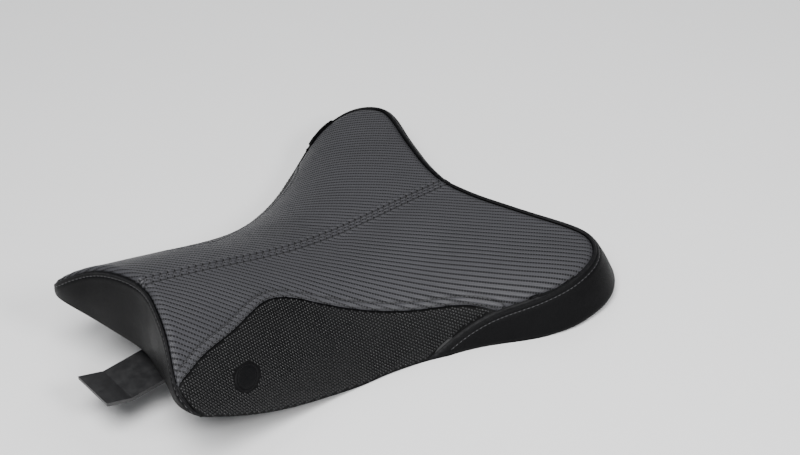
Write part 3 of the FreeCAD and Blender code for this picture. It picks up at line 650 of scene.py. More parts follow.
def stitches(name, rows, mirror=False):
    """Rows of stitches as one object: short arched runs of thread, and the needle's hollows between them."""
    sign = -1 if mirror else 1
    sides = 6
    steps = np.linspace(-1, 1, 7)
    angle = np.linspace(0, 2 * math.pi, sides + 1)[:-1]
    radius = THREAD * np.sqrt(np.clip(1 - steps**6, 0.12, 1))
    height = 0.2 - 0.46 * steps**4
    verts, faces, light = [], [], []
    size = len(steps) * sides
    template = []
    for i in range(len(steps) - 1):
        for j in range(sides):
            k = (j + 1) % sides
            template.append([i * sides + k, i * sides + j, (i + 1) * sides + j, (i + 1) * sides + k])
    template += [list(range(sides)), list(range(size - sides, size))[::-1]]
    template += [[size + j, size + (j + 1) % sides, size + sides] for j in range(sides)]
    for place, out, along in rows:
        along = along - (along * out).sum(axis=1)[:, None] * out
        along /= np.linalg.norm(along, axis=1)[:, None]
        across = np.cross(out, along)
        for p, n, a, c in zip(place, out, along, across):
            spine = p + a * (steps * STITCH_LONG / 2)[:, None] + n * height[:, None]
            ring = np.cos(angle)[None, :, None] * c + np.sin(angle)[None, :, None] * n * 0.9
            thread = (spine[:, None] + ring * radius[:, None, None]).reshape(-1, 3)
            middle = p + a * STITCH_PITCH / 2 + n * 0.06
            rim = middle + HOLE * (1.15 * np.cos(angle)[:, None] * a + 0.85 * np.sin(angle)[:, None] * c)
            base = len(verts) * (size + sides + 1)
            verts.append(np.concatenate([thread, rim, middle[None] - n * 0.02]))
            # 1 for the thread and 0 for the needle's hollow, which the thread finish paints near black as shade.
            light += [1.0] * size + [0.0] * (sides + 1)
            faces += [[index + base for index in (face[::-1] if mirror else face)] for face in template]
    return build_mesh(name, to_frame(np.concatenate(verts) * np.array([1, sign, 1])), faces, wear_and_shade=light)


def seam_row(panel, line, inset, start=2.0, end=2.0):
    """Stitches on a panel at a distance beside a seam line."""
    dense = resample(line, 0.2)
    ahead = np.gradient(dense, axis=0)
    ahead /= np.linalg.norm(ahead, axis=1)[:, None]
    inward = np.stack([-ahead[:, 1], ahead[:, 0]], axis=-1)
    beside = resample(dense + inward * inset, 0.2)
    lengths = np.arange(len(beside)) * 0.2
    wanted = np.arange(start, lengths[-1] - end, STITCH_PITCH)
    index = (wanted / 0.2).astype(int)
    place, out = panel.at(beside[index])
    front, _ = panel.at(beside[np.minimum(index + 4, len(beside) - 1)])
    back, _ = panel.at(beside[np.maximum(index - 4, 0)])
    return place, out, front - back


# ------------------------------------------------------------------ top and thigh panels

top_loop = chain(centre_flat, nose_flat, thigh_flat[::-1], rear_flat[::-1])
thigh_loop = chain(thigh_flat, front_flat[::-1], hem_flat[::-1], band_edge_flat[::-1])
TOP_SWELL = 1.2  # chosen, not simulated: what the largest movement is scaled to
THIGH_SWELL = 1.4
top_points, top_faces = triangulate(top_loop, 0.8, 1.9, RINGS)
thigh_points, thigh_faces = triangulate(thigh_loop, 0.8, 1.9, RINGS)
top_base = Panel(top_points, rolled(top_points), top_faces)
thigh_base = Panel(thigh_points, rolled(thigh_points), thigh_faces)


def along_line(points, line):
    """Distance to a seam line and the distance along it."""
    away, index = nearest(points, line)
    return away, index * FINE


d_centre = top_points[:, 1]
d_thigh, run_thigh = along_line(top_points, thigh_flat)
d_rear, _ = along_line(top_points, rear_flat)
d_nose, _ = along_line(top_points, nose_flat)
d_under, _ = along_line(thigh_points, thigh_flat)
d_front, _ = along_line(thigh_points, front_flat)
d_edge, _ = along_line(thigh_points, band_edge_flat)
d_hem, _ = along_line(thigh_points, hem_flat)


def pucker(d, run, width):
    """The cover drawn in slightly at each stitch."""
    return -0.1 * np.cos(2 * math.pi * run / STITCH_PITCH) * hump(d, 0, width)


def calm(*distances):
    """From 0 beside a seam to 1 well away from every seam."""
    return np.clip((np.minimum.reduce(distances) - 4) / 18, 0, 1)


top_relief = centre_relief(d_centre) + lap_relief(d_thigh) + tucked_relief(d_rear) + tucked_relief(d_nose)
top_relief = np.maximum(top_relief, -1.6)
top_relief += pucker(d_centre - CENTRE_ROW, top_points[:, 0], 1.2) + pucker(d_thigh - LAP_ROWS[1], run_thigh, 1.8)
top_relief += swell("top", top_loop, rolled, top_points, TOP_SWELL)
top_calm = calm(d_centre, d_thigh, d_rear, d_nose)

# A panel that is tucked in at the hem stays clear of the fold, and its ends thin out.
hem_fade = np.clip(d_hem / 6, 0, 1)
thigh_relief = under_relief(d_under) + tucked_relief(d_front) + 0.7 * tucked_relief(d_edge)
thigh_relief = np.maximum(thigh_relief, np.where(d_edge < 10, -0.4, -1.5)) * np.clip(d_hem / 2.5, 0, 1)
thigh_relief += hem_fade * swell("thigh", thigh_loop, rolled, thigh_points, THIGH_SWELL)
thigh_calm = calm(d_under, d_front, d_edge, d_hem)

# Lighter and glossier on the seams' ridges for scuffing; the negative terms below mark the grooves and stitch
# troughs, where the top vinyl paints shade.
top_wear_and_groove_shade = 1.1 * hump(d_centre, 1.6, 0.8) + 0.7 * hump(d_centre, 5.9, 1.1)
top_wear_and_groove_shade = top_wear_and_groove_shade + hump(d_thigh, 3.6, 1.6) + 0.4 * hump(d_nose, 3, 3)
top_wear_and_groove_shade -= 0.8 * hump(d_centre, 0, 0.5) + 1.1 * hump(d_centre, CENTRE_ROW, 0.75)
top_wear_and_groove_shade -= 0.7 * hump(d_thigh, 1.3, 0.6) + 0.8 * hump(d_thigh, 6.4, 0.7) + hump(d_nose, 0, 0.8)
thigh_wear = np.clip(0.5 * hump(d_hem, 0, 5) + 0.35 * hump(d_front, 5, 3), 0, 1)


def finished(base, relief, quiet, seed):
    """A panel with its relief and its own slight unevenness."""
    lift = relief + 0.2 * quiet * wander(base.places, seed)
    return Panel(base.flat, base.places + base.normals * lift[:, None], base.faces)


tops = [finished(top_base, top_relief, top_calm, 7), finished(top_base, top_relief, top_calm, 11)]
thighs = [finished(thigh_base, thigh_relief, thigh_calm, 13), finished(thigh_base, thigh_relief, thigh_calm, 17)]
for panel in tops:
    panel.places[:, 1] = np.maximum(panel.places[:, 1], 0.02)
for panel in thighs:
    panel.places[:, 2] = np.maximum(panel.places[:, 2], hem(panel.places[:, 0]) + 0.9)

# ------------------------------------------------------------------ bands


def grid_faces(rows, columns):
    """Triangles of a grid of points, rows first."""
    index = np.arange(rows * columns).reshape(rows, columns)
    a, b, c, d = (k.ravel() for k in (index[:-1, :-1], index[1:, :-1], index[1:, 1:], index[:-1, 1:]))
    return np.concatenate([np.stack([a, b, c], axis=-1), np.stack([a, c, d], axis=-1)])


def grid_normals(grid):
    """Unit normals of a grid of places."""
    n = np.cross(np.gradient(grid, axis=0), np.gradient(grid, axis=1))
    return n / np.maximum(np.linalg.norm(n, axis=-1, keepdims=True), 1e-9)


BAND_ROUND = 5.0  # how far down the wall a band's rounded edge reaches
FOLD_ROWS = ((0.35, 0.35), (0.0, 1.0), (0.03, 2.4))  # height above the hem, distance in from the wall


def band_relief(d, row):
    """A band's folded edge stands up as a bead, and a row of stitches holds its seam allowance."""
    bead = 0.95 * hump(d, 0.26 * row, 0.15 * row) + 0.32 * hump(d, 0.64 * row, 0.22 * row)
    return -0.7 * hump(d, 0, 0.45) + bead - 0.5 * hump(d, row, 0.8) + 0.2 * hump(d, row + 3, 2)


def band_grid(t, roll, row, belly):
    """Places, distances along and down, and heights of a band: rolled edge, wall, and fold at the hem."""
    place, outward, _ = crease(t)
    foot = wall_foot(t, FOLD)
    height = np.linalg.norm(foot - place, axis=1)
    down = (foot - place) / np.maximum(height, 1e-6)[:, None]
    edge = roll(t, place, down, height)
    straight = edge[:, -1:] + (foot - edge[:, -1])[:, None] * np.linspace(0, 1, 34)[None, 1:, None] ** 1.15
    grid = np.concatenate([edge, straight], axis=1)
    step = np.linalg.norm(np.diff(grid, axis=1), axis=2)
    d = np.concatenate([np.zeros((len(t), 1)), np.cumsum(step, axis=1)], axis=1)
    normal = grid_normals(grid)
    size = np.clip((height - 1) / 16, 0, 1)[:, None]
    share = d / np.maximum(d[:, -1:], 1e-6)
    lift = band_relief(d, row) * size * np.clip((1 - share) * 6, 0, 1)
    lift = lift + belly * np.clip(height / 30, 0, 1)[:, None] * np.sin(math.pi * share) ** 1.3
    lift = lift + 0.15 * size * (np.sin(math.pi * share) * wander(grid.reshape(-1, 3), 23).reshape(d.shape))
    return grid, normal, d, lift, outward


def with_fold(grid, outward):
    """A band's grid with the rows that fold in under the seat."""
    last = grid[:, -1]
    inward = np.concatenate([-outward, np.zeros((len(outward), 1))], axis=-1)
    rows = []
    for lift, inset in FOLD_ROWS:
        row = last + inward * inset
        row[:, 2] = np.minimum(hem(row[:, 0]) + lift, last[:, 2] - 0.02 * (1 + inset))
        rows.append(row)
    return np.concatenate([grid, np.stack(rows, axis=1)], axis=1)


def rear_roll(t, place, down, height):
    """The rear band's rounded edge, from its seam over the crease and down the wall."""
    start = on_top(flat_of(rear_seam(t)))
    end = place + down * np.minimum(BAND_ROUND, 0.42 * height)[:, None]
    tau = np.linspace(0, 1, 22)[None, :, None]
    return (1 - tau) ** 2 * start[:, None] + 2 * tau * (1 - tau) * place[:, None] + tau**2 * end[:, None]


def nose_roll(t, place, down, height):
    """The nose band's part of the rounded edge."""
    setback = np.minimum(NOSE_ROUND, 0.42 * height)[:, None, None]
    inward = np.stack([np.interp(t, nose_run, nose_inward[:, k]) for k in range(3)], axis=-1)
    tau = np.linspace(NOSE_SPLIT, 1, 14)[None, :, None]
    return place[:, None] + inward[:, None] * setback * (1 - tau) ** 2 + down[:, None] * setback * tau**2


WALL_LOWEST = 0.5  # for the wall; the fold below it still dips 0.4 mm below the floor
REAR_ROW = 6.6  # distance of the rear band's row of stitches from its seam
NOSE_ROW = 3.9
rear_t = np.concatenate([[0, 0.3, 0.6, 0.95, 1.4, 1.9, 2.5], np.linspace(3.2, REAR_END, 300)])
rear_grid, rear_normal, rear_d, rear_lift, rear_outward = band_grid(rear_t, rear_roll, REAR_ROW, 1.2)
back = rear_t[:, None]
rear_lift *= 0.45 + 0.55 * (band_inset(rear_t) / BAND_INSET)[:, None]
rear_tip = np.clip((rear_t - junction_t + 6) / 12, 0, 1)[:, None]
rear_lift = rear_lift * (1 - 0.6 * rear_tip) + 0.5 * rear_tip * np.clip(rear_d / 2, 0, 1)
rear_lift += (-1.1 * hump(back, 0, 0.8) + 0.5 * hump(back, 2.0, 1.1)) * np.clip(rear_d / 2, 0.2, 1)
rear_low = np.clip(rear_d / 6, 0, 1) * np.clip((rear_d[:, -1:] - rear_d) / 1.5, 0, 1)
rear_lift = rear_lift + 0.7 * rear_low
rear_grid = rear_grid + rear_normal * rear_lift[..., None]
rear_grid[..., 1] = np.maximum(rear_grid[..., 1], 0.02)
rear_grid[..., 2] = np.maximum(rear_grid[..., 2], WALL_LOWEST)

half_t = np.linspace(NOSE_START, NOSE_MIDDLE, 130)
nose_grid, nose_normal, nose_d, nose_lift, nose_out = band_grid(half_t, nose_roll, NOSE_ROW, 0.8)
nose_grid = nose_grid + nose_normal * nose_lift[..., None]
nose_grid[-1, :, 1] = 0


def band_panel(grid, t, d, outward):
    """A band as a panel, with a row that runs down into its seam and its fold at the hem."""
    whole = with_fold(grid, outward)
    sink = grid[:, :1] - grid_normals(grid)[:, :1] * 2.0
    whole = np.concatenate([sink, whole], axis=1)
    beyond = d[:, -1:] + np.cumsum([1.0] * len(FOLD_ROWS))[None]
    down = np.concatenate([d[:, :1] - 2.0, d, beyond], axis=1)
    flat = np.stack([np.broadcast_to(t[:, None], down.shape), down], axis=-1)
    return Panel(flat.reshape(-1, 2), whole.reshape(-1, 3), grid_faces(*whole.shape[:2]))


rear_panel = band_panel(rear_grid, rear_t, rear_d, rear_outward)
flipped = nose_grid[-2::-1] * np.array([1, -1, 1])
whole_nose = np.concatenate([nose_grid, flipped])
whole_t = np.concatenate([half_t, 2 * NOSE_MIDDLE - half_t[-2::-1]])
whole_d = np.concatenate([nose_d, nose_d[-2::-1]])
whole_out = np.concatenate([nose_out, nose_out[-2::-1] * np.array([1, -1])])
nose_panel = band_panel(whole_nose, whole_t, whole_d, whole_out)
rear_wear = np.clip(hump(rear_panel.flat[:, 1], 1.7, 1.4), 0, 1)
nose_wear = np.clip(hump(nose_panel.flat[:, 1], 1.1, 1.0), 0, 1)

# ------------------------------------------------------------------ materials


class Finish:
    """A procedural material, built node by node."""

    def __init__(self, name, **uniform):
        self.material = bpy.data.materials.new(name)
        self.material.use_nodes = True
        self.tree = self.material.node_tree
        self.shader = self.tree.nodes["Principled BSDF"]
        for socket, value in uniform.items():
            self.shader.inputs[socket.replace("_", " ")].default_value = value

    def node(self, kind, inputs=None, **settings):
        """A node with its settings, its inputs set or linked."""
        made = self.tree.nodes.new(kind)
        for key, value in settings.items():
            setattr(made, key, value)
        for key, value in (inputs or {}).items():
            if isinstance(value, bpy.types.NodeSocket):
                self.tree.links.new(value, made.inputs[key])
            else:
                made.inputs[key].default_value = value
        return made

    def math(self, operation, *values):
        """The result of a Math node."""
        return self.node("ShaderNodeMath", dict(enumerate(values)), operation=operation).outputs[0]

    def plus(self, a, b):
        return self.math("ADD", a, b)

    def minus(self, a, b):
        return self.math("SUBTRACT", a, b)

    def times(self, a, b):
        return self.math("MULTIPLY", a, b)

    def ramp(self, value, low, high, out_low=0.0, out_high=1.0):
        """A value remapped from one range to another, and clamped."""
        inputs = {"Value": value, "From Min": low, "From Max": high, "To Min": out_low, "To Max": out_high}
        return self.node("ShaderNodeMapRange", inputs).outputs["Result"]

    def choose(self, factor, if_zero, if_one):
        """A number between two by a factor."""
        return self.plus(self.times(self.minus(if_one, if_zero), factor), if_zero)

    def blend(self, factor, first, second):
        """A colour between two by a factor."""
        node = self.node("ShaderNodeMix", data_type="RGBA")
        for socket, value in ((node.inputs["Factor"], factor), (node.inputs[6], first), (node.inputs[7], second)):
            if isinstance(value, bpy.types.NodeSocket):
                self.tree.links.new(value, socket)
            else:
                socket.default_value = value if not isinstance(value, tuple) else (*value, 1)
        return node.outputs[2]

    def place(self):
        """Places on the object, in metres."""
        return self.node("ShaderNodeTexCoord").outputs["Object"]

    def noise(self, size, detail=2.0, roughness=0.5, place=None):
        """Noise with features of a size in metres, from 0 to 1."""
        inputs = {"Vector": place or self.place(), "Scale": 1 / size, "Detail": detail, "Roughness": roughness}
        return self.node("ShaderNodeTexNoise", inputs).outputs["Fac"]

    def cells(self, size, place=None, output="Distance", feature="F1"):
        """Voronoi cells of a size in metres."""
        inputs = {"Vector": place or self.place(), "Scale": 1 / size}
        return self.node("ShaderNodeTexVoronoi", inputs, feature=feature).outputs[output]

    def wear_and_shade_level(self):
        """How far a place is scuffed, from the mesh; where it is below zero, in the seam grooves, it paints shade,
        and on stitches 0 marks the needle's hollows, painted dark as shade.
        """
        return self.node("ShaderNodeAttribute", attribute_name="wear_and_shade").outputs["Fac"]

    def link(self, socket, value):
        """Links a value to the shader."""
        self.tree.links.new(value, self.shader.inputs[socket])

    def bump(self, height, depth, before=None):
        """Relief of a depth in metres."""
        inputs = {"Height": height, "Distance": depth, "Strength": 1.0}
        if before is not None:
            inputs["Normal"] = before
        return self.node("ShaderNodeBump", inputs).outputs["Normal"]


TOW = 0.0015  # width of one tow of the carbon-look twill, in metres


def twill(finish, tow):
    """Height of a 2/2 twill, whether the tow on top runs across the seat, and the pits between the tows."""
    cut = finish.node("ShaderNodeUVMap", uv_map="cut").outputs["UV"]
    split = finish.node("ShaderNodeSeparateXYZ", {0: cut})
    u, v = (finish.math("DIVIDE", split.outputs[k], tow) for k in (0, 1))
    i, j = finish.math("FLOOR", u), finish.math("FLOOR", v)
    fu, fv = finish.minus(u, i), finish.minus(v, j)
    k = finish.math("FLOORED_MODULO", finish.plus(i, j), 4.0)
    across = finish.math("LESS_THAN", k, 1.5)
    along_v = finish.times(finish.plus(k, fv), 0.5)
    along_u = finish.times(finish.plus(finish.minus(k, 2.0), fu), 0.5)
    along = finish.choose(across, along_u, along_v)
    over = finish.choose(across, fv, fu)
    centred = finish.minus(finish.times(over, 2.0), 1.0)
    round_ = finish.minus(1.0, finish.times(centred, centred))
    ends = finish.minus(finish.times(along, 2.0), 1.0)
    squared = finish.times(ends, ends)
    arched = finish.minus(1.0, finish.times(squared, squared))
    tows = finish.times(round_, arched)
    # The deepest pits lie where every fourth diagonal row of tows crosses.
    row = finish.minus(finish.math("FRACT", finish.plus(finish.times(finish.plus(u, v), 0.25), 0.25)), 0.5)
    run = finish.minus(finish.math("FRACT", finish.times(finish.minus(u, v), 0.5)), 0.5)
    far = finish.plus(
        finish.times(finish.times(row, row), 8.0),
        finish.times(finish.times(run, run), 2.0),
    )
    pits = finish.ramp(far, 0.1, 0.55, 1.0, 0.0)
    return tows, across, pits


def top_vinyl():
    """Embossed carbon-look vinyl: a raised twill under a thin satin topcoat, with painted shade in the twill's pits
    and between its tows, a painted sheen by tow direction, and painted shade in the seam grooves.
    """
    finish = Finish("top_vinyl", Specular_IOR_Level=0.25)
    tows, across, pits = twill(finish, TOW)
    patches = finish.noise(0.05, 3)
    # The pits go near black and the tows darken towards their edges and ends: painted shade in the weave's hollows.
    clear = finish.minus(1.0, finish.times(pits, 0.93))
    lift = finish.times(finish.ramp(tows, 0.0, 0.5, 0.7, 1.0), clear)
    lit = finish.times(lift, finish.ramp(patches, 0.3, 0.7, 0.88, 1.1))
    # Tows across the seat are a little darker than those along it: a painted sheen by tow direction.
    lit = finish.times(lit, finish.choose(across, 1.0, 0.93))
    colour = finish.blend(lit, (0.0012, 0.0012, 0.0014), (0.046, 0.046, 0.0515))
    wear_and_shade_level = finish.wear_and_shade_level()
    scuffed = finish.times(finish.ramp(wear_and_shade_level, 0, 1), finish.ramp(finish.noise(0.004, 4), 0.35, 0.7, 0.1, 0.4))
    colour = finish.blend(scuffed, colour, (0.06, 0.06, 0.065))
    # Below zero on the mesh, in the seam grooves and stitch troughs, the colour goes near black: painted shade.
    finish.link("Base Color", finish.blend(finish.ramp(wear_and_shade_level, 0, -1), colour, (0.0015, 0.0015, 0.0016)))
    grain = finish.noise(0.0005, 2)
    rough = finish.plus(finish.ramp(lift, 0, 1, 0.8, 0.4), finish.ramp(patches, 0.3, 0.7, -0.04, 0.05))
    finish.link("Roughness", finish.minus(rough, finish.times(scuffed, 0.12)))
    relief = finish.minus(finish.times(tows, 0.5), pits)
    woven = finish.bump(relief, 0.00032)
    finish.link("Normal", finish.bump(grain, 0.00003, woven))
    return finish.material


def plain_vinyl(name, colour, rough, grain_size, grain_depth, gloss=0.25):
    """Calendered vinyl with a fine leather grain, a little scuffed along its raised edges."""
    finish = Finish(name, Specular_IOR_Level=gloss)
    patches = finish.noise(0.03, 4)
    pores = finish.cells(grain_size, feature="DISTANCE_TO_EDGE")
    hills = finish.ramp(pores, 0.0, 0.22)
    dark = tuple(0.6 * c for c in colour)
    light = tuple(1.35 * c for c in colour)
    shade = finish.times(finish.ramp(patches, 0.3, 0.7, 0.3, 1), finish.ramp(hills, 0, 1, 0.55, 1))
    base = finish.blend(shade, dark, light)
    wear_and_shade_level = finish.times(finish.wear_and_shade_level(), finish.ramp(finish.noise(0.003, 4), 0.35, 0.7, 0.1, 0.6))
    finish.link("Base Color", finish.blend(wear_and_shade_level, base, tuple(3.2 * c + 0.01 for c in colour)))
    roughness = finish.ramp(patches, 0.3, 0.7, rough - 0.05, rough + 0.06)
    roughness = finish.plus(roughness, finish.ramp(hills, 0, 1, 0.1, 0))
    finish.link("Roughness", finish.minus(roughness, finish.times(wear_and_shade_level, 0.1)))
    leather = finish.bump(hills, grain_depth)
    finish.link("Normal", finish.bump(finish.noise(grain_size * 0.4, 2), grain_depth * 0.5, leather))
    return finish.material


def moulded(name, colour, rough, texture, depth, **uniform):
    """Moulded plastic or rubber with a spark-eroded texture and a few pale scuffs."""
    finish = Finish(name, **uniform)
    clouds = finish.noise(0.02, 4)
    grain = finish.noise(texture, 3, 0.6)
    scuffs = finish.ramp(finish.noise(0.0035, 6, 0.7), 0.62, 0.72)
    dark, light, scuffed = (tuple(k * c + more for c in colour) for k, more in ((0.8, 0), (1.25, 0), (2, 0.02)))
    base = finish.blend(finish.ramp(clouds, 0.35, 0.65), dark, light)
    finish.link("Base Color", finish.blend(finish.times(scuffs, 0.25), base, scuffed))
    roughness = finish.ramp(clouds, 0.3, 0.7, rough - 0.06, rough + 0.06)
    finish.link("Roughness", finish.plus(roughness, finish.times(scuffs, 0.08)))
    finish.link("Normal", finish.bump(grain, depth))
    return finish.material


def metal(name, light, dark, rough, grain=0.0008, metallic=1.0):
    """Plated or coated metal with faint stains and fine scratches."""
    finish = Finish(name, Metallic=metallic)
    stains = finish.ramp(finish.noise(0.006, 5, 0.6), 0.35, 0.7)
    finish.link("Base Color", finish.blend(stains, light, dark))
    spread = finish.node("ShaderNodeMapping", {"Vector": finish.place(), "Scale": (1, 12, 1)}).outputs[0]
    scratches = finish.noise(grain, 3, 0.6, spread)
    roughness = finish.ramp(scratches, 0.3, 0.7, rough - 0.06, rough + 0.1)
    finish.link("Roughness", finish.plus(roughness, finish.times(stains, 0.12)))
    finish.link("Normal", finish.bump(scratches, 0.000012))
    return finish.material


def thread_finish():
    """Bonded polyester thread with a fine twist, and painted shade in the needle's hollows between its stitches."""
    finish = Finish("thread", Specular_IOR_Level=0.4, Sheen_Weight=0.1, Sheen_Roughness=0.4)
    twist = finish.noise(0.00025, 2)
    thread = finish.blend(twist, (0.018, 0.018, 0.02), (0.05, 0.05, 0.054))
    # Where the mesh gives 0, in the needle's hollows, the colour is near black: painted shade.
    finish.link("Base Color", finish.blend(finish.wear_and_shade_level(), (0.004, 0.004, 0.0042), thread))
    finish.link("Roughness", finish.ramp(twist, 0.3, 0.7, 0.45, 0.7))
    finish.link("Normal", finish.bump(twist, 0.00008))
    return finish.material


finishes = {
    "top": top_vinyl(),
    "thigh": plain_vinyl("thigh_vinyl", (0.002, 0.002, 0.0022), 0.5, 0.0009, 0.00005, 0.1),
    "grip": plain_vinyl("grip_vinyl", (0.004, 0.004, 0.0045), 0.22, 0.0006, 0.00002, 0.32),
    "band": plain_vinyl("band_vinyl", (0.002, 0.002, 0.0024), 0.46, 0.0011, 0.00006, 0.1),
    "thread": thread_finish(),
}
slot_finishes = {
    "pan": moulded("pan_plastic", (0.007, 0.007, 0.0075), 0.55, 0.0006, 0.00005),
    "rubber": moulded("bumper_rubber", (0.012, 0.012, 0.012), 0.72, 0.0004, 0.00004, Specular_IOR_Level=0.35),
    "band_vinyl": plain_vinyl("hem_vinyl", (0.0024, 0.0024, 0.0028), 0.5, 0.0011, 0.00006, 0.1),
    "steel": metal("zinc_plate", (0.62, 0.63, 0.64), (0.42, 0.42, 0.41), 0.3),
    "painted_steel": metal("powder_coat", (0.014, 0.014, 0.015), (0.022, 0.022, 0.023), 0.42, 0.0006, 0.0),
    "brass": metal("brass", (0.66, 0.47, 0.2), (0.42, 0.28, 0.12), 0.32),
}


def paint(obj, finish):
    """Gives an object its finish."""
    obj.data.materials.clear()
    obj.data.materials.append(finish)
    return obj


for name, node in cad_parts.items():
    for slot in node.material_slots:
        key = (slot.material.name if slot.material else "").split(".")[0]
        if key in slot_finishes:
            slot.material = slot_finishes[key]

# ------------------------------------------------------------------ pieces


def add(obj, slot, finish, *nodes, pad=None):
    """Gives a piece its finish, puts it on the seat's body, and hides the parts it stands in for."""
    paint(obj, finishes[finish])
    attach(obj, "seat")
    if nodes:
        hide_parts(*nodes)
    return obj


SKIN = 1.0  # thickness of the cover in millimetres


def thicken(obj):
    """Gives a sheet its thickness, inwards from its visible side."""
    solid = obj.modifiers.new("thickness", "SOLIDIFY")
    solid.thickness = SKIN * MM
    solid.offset = -1
    return obj


def lattice(panel, clear_of):
    """Flat places of the raised grip dots: a hexagonal pattern turned a little from the seat's length."""
    first, second = np.array([2.28, 0.57]), np.array([-1.55, 1.88])
    reach = np.arange(-260, 261)
    a, b = np.meshgrid(reach, reach, indexing="ij")
    points = a.reshape(-1, 1) * first + b.reshape(-1, 1) * second + np.array([200, 90])
    low, high = panel.flat.min(axis=0), panel.flat.max(axis=0)
    points = points[((points > low) & (points < high)).all(axis=1)]
    points = points[contains(resample(np.concatenate([thigh_loop, thigh_loop[:1]]), 1.0), points)]
    for line, gap in clear_of:
        points = points[nearest(points, line)[0] > gap]
    return points


DOT_RADIUS = 1.1
DOT_PROFILE = ((1.0, -0.12), (0.84, 0.16), (0.52, 0.36))  # share of the radius, height
DOT_TOP = 0.43


def grip_dots(name, panel, points, mirror):
    """Raised dots on a thigh panel, as one object."""
    sign = -1 if mirror else 1
    place, out = panel.at(points)
    ahead, _ = panel.at(points + np.array([0.5, 0]))
    along = ahead - place
    along -= (along * out).sum(axis=1)[:, None] * out
    along /= np.linalg.norm(along, axis=1)[:, None]
    across = np.cross(out, along)
    sides = 8
    angle = np.linspace(0, 2 * math.pi, sides + 1)[:-1]
    template = []
    for share, height in DOT_PROFILE:
        template += [(share * DOT_RADIUS * math.cos(g), share * DOT_RADIUS * math.sin(g), height) for g in angle]
    template.append((0, 0, DOT_TOP))
    template = np.array(template)
    verts = place[:, None] + template[None, :, :1] * along[:, None] + template[None, :, 1:2] * across[:, None]
    verts = verts + template[None, :, 2:] * out[:, None]
    one = []
    for ring in range(len(DOT_PROFILE) - 1):
        for k in range(sides):
            n = (k + 1) % sides
            one.append([ring * sides + k, ring * sides + n, (ring + 1) * sides + n, (ring + 1) * sides + k])
    last = (len(DOT_PROFILE) - 1) * sides
    one += [[last + k, last + (k + 1) % sides, last + sides] for k in range(sides)]
    one = [face[::-1] for face in one] if mirror else one
    starts = range(0, len(points) * len(template), len(template))
    faces = [[index + base for index in face] for base in starts for face in one]
    return build_mesh(name, to_frame(verts.reshape(-1, 3) * np.array([1, sign, 1])), faces)


BADGE = (262.5, 82.5, 13.0, 8.2)  # station, side, and half lengths of the plain oval on each thigh panel
BADGE_TILT = math.radians(37.6)
BADGE_TURN = np.array([[math.cos(BADGE_TILT), math.sin(BADGE_TILT)], [-math.sin(BADGE_TILT), math.cos(BADGE_TILT)]])


def badge_centre():
    """Flat place of the oval's middle."""
    return flat_of(np.array([[BADGE[0], BADGE[1]]]))[0]


def badge(name, panel, mirror):
    """A plain oval embossed in a thigh panel, with a fine line inside its edge."""
    sign = -1 if mirror else 1
    rings = np.array([0, 0.3, 0.6, 0.74, 0.78, 0.81, 0.84, 0.88, 0.93, 0.97, 1.0, 1.03])
    height = np.array([0.42, 0.42, 0.42, 0.41, 0.25, 0.16, 0.25, 0.43, 0.44, 0.34, 0.12, -0.2])
    angle = np.linspace(0, 2 * math.pi, 73)[:-1]
    oval = np.stack([np.cos(angle) * BADGE[2], np.sin(angle) * BADGE[3]], axis=-1)
    flat = badge_centre() + (rings[:, None, None] * oval[None]) @ BADGE_TURN
    place, out = panel.at(flat.reshape(-1, 2))
    verts = place + out * np.repeat(height, len(angle))[:, None]
    faces = []
    for i in range(len(rings) - 1):
        for k in range(len(angle)):
            n = (k + 1) % len(angle)
            face = [i * len(angle) + k, (i + 1) * len(angle) + k, (i + 1) * len(angle) + n, i * len(angle) + n]
            faces.append(face[::-1] if mirror else face)
    obj = build_mesh(name, to_frame(verts * np.array([1, sign, 1])), faces, flat.reshape(-1, 2) * MM)
    bm = bmesh.new()
    bm.from_mesh(obj.data)
    bmesh.ops.remove_doubles(bm, verts=bm.verts, dist=1e-6)
    bm.to_mesh(obj.data)
    bm.free()
    return obj


top_depth = np.full(len(top_points), 2.2)
thigh_depth = np.where(d_hem < 0.3, 0.9, 1.4)
dots_flat = lattice(thigh_base, ((thigh_flat, 1.3), (front_flat, 2.2), (band_edge_flat, 1.5), (hem_flat, 1.3)))
centre = badge_centre()
beyond = ((dots_flat - centre) @ BADGE_TURN.T / (np.array(BADGE[2:]) + 1.3)) ** 2
dots_flat = dots_flat[beyond.sum(axis=1) > 1]
band_row = np.stack([np.linspace(0, junction_t + 45, 2000), np.full(2000, 0.0)], axis=-1)
nose_row = np.stack([np.linspace(NOSE_START + 4, AROUND - NOSE_START - 4, 2000), np.full(2000, 0.0)], axis=-1)

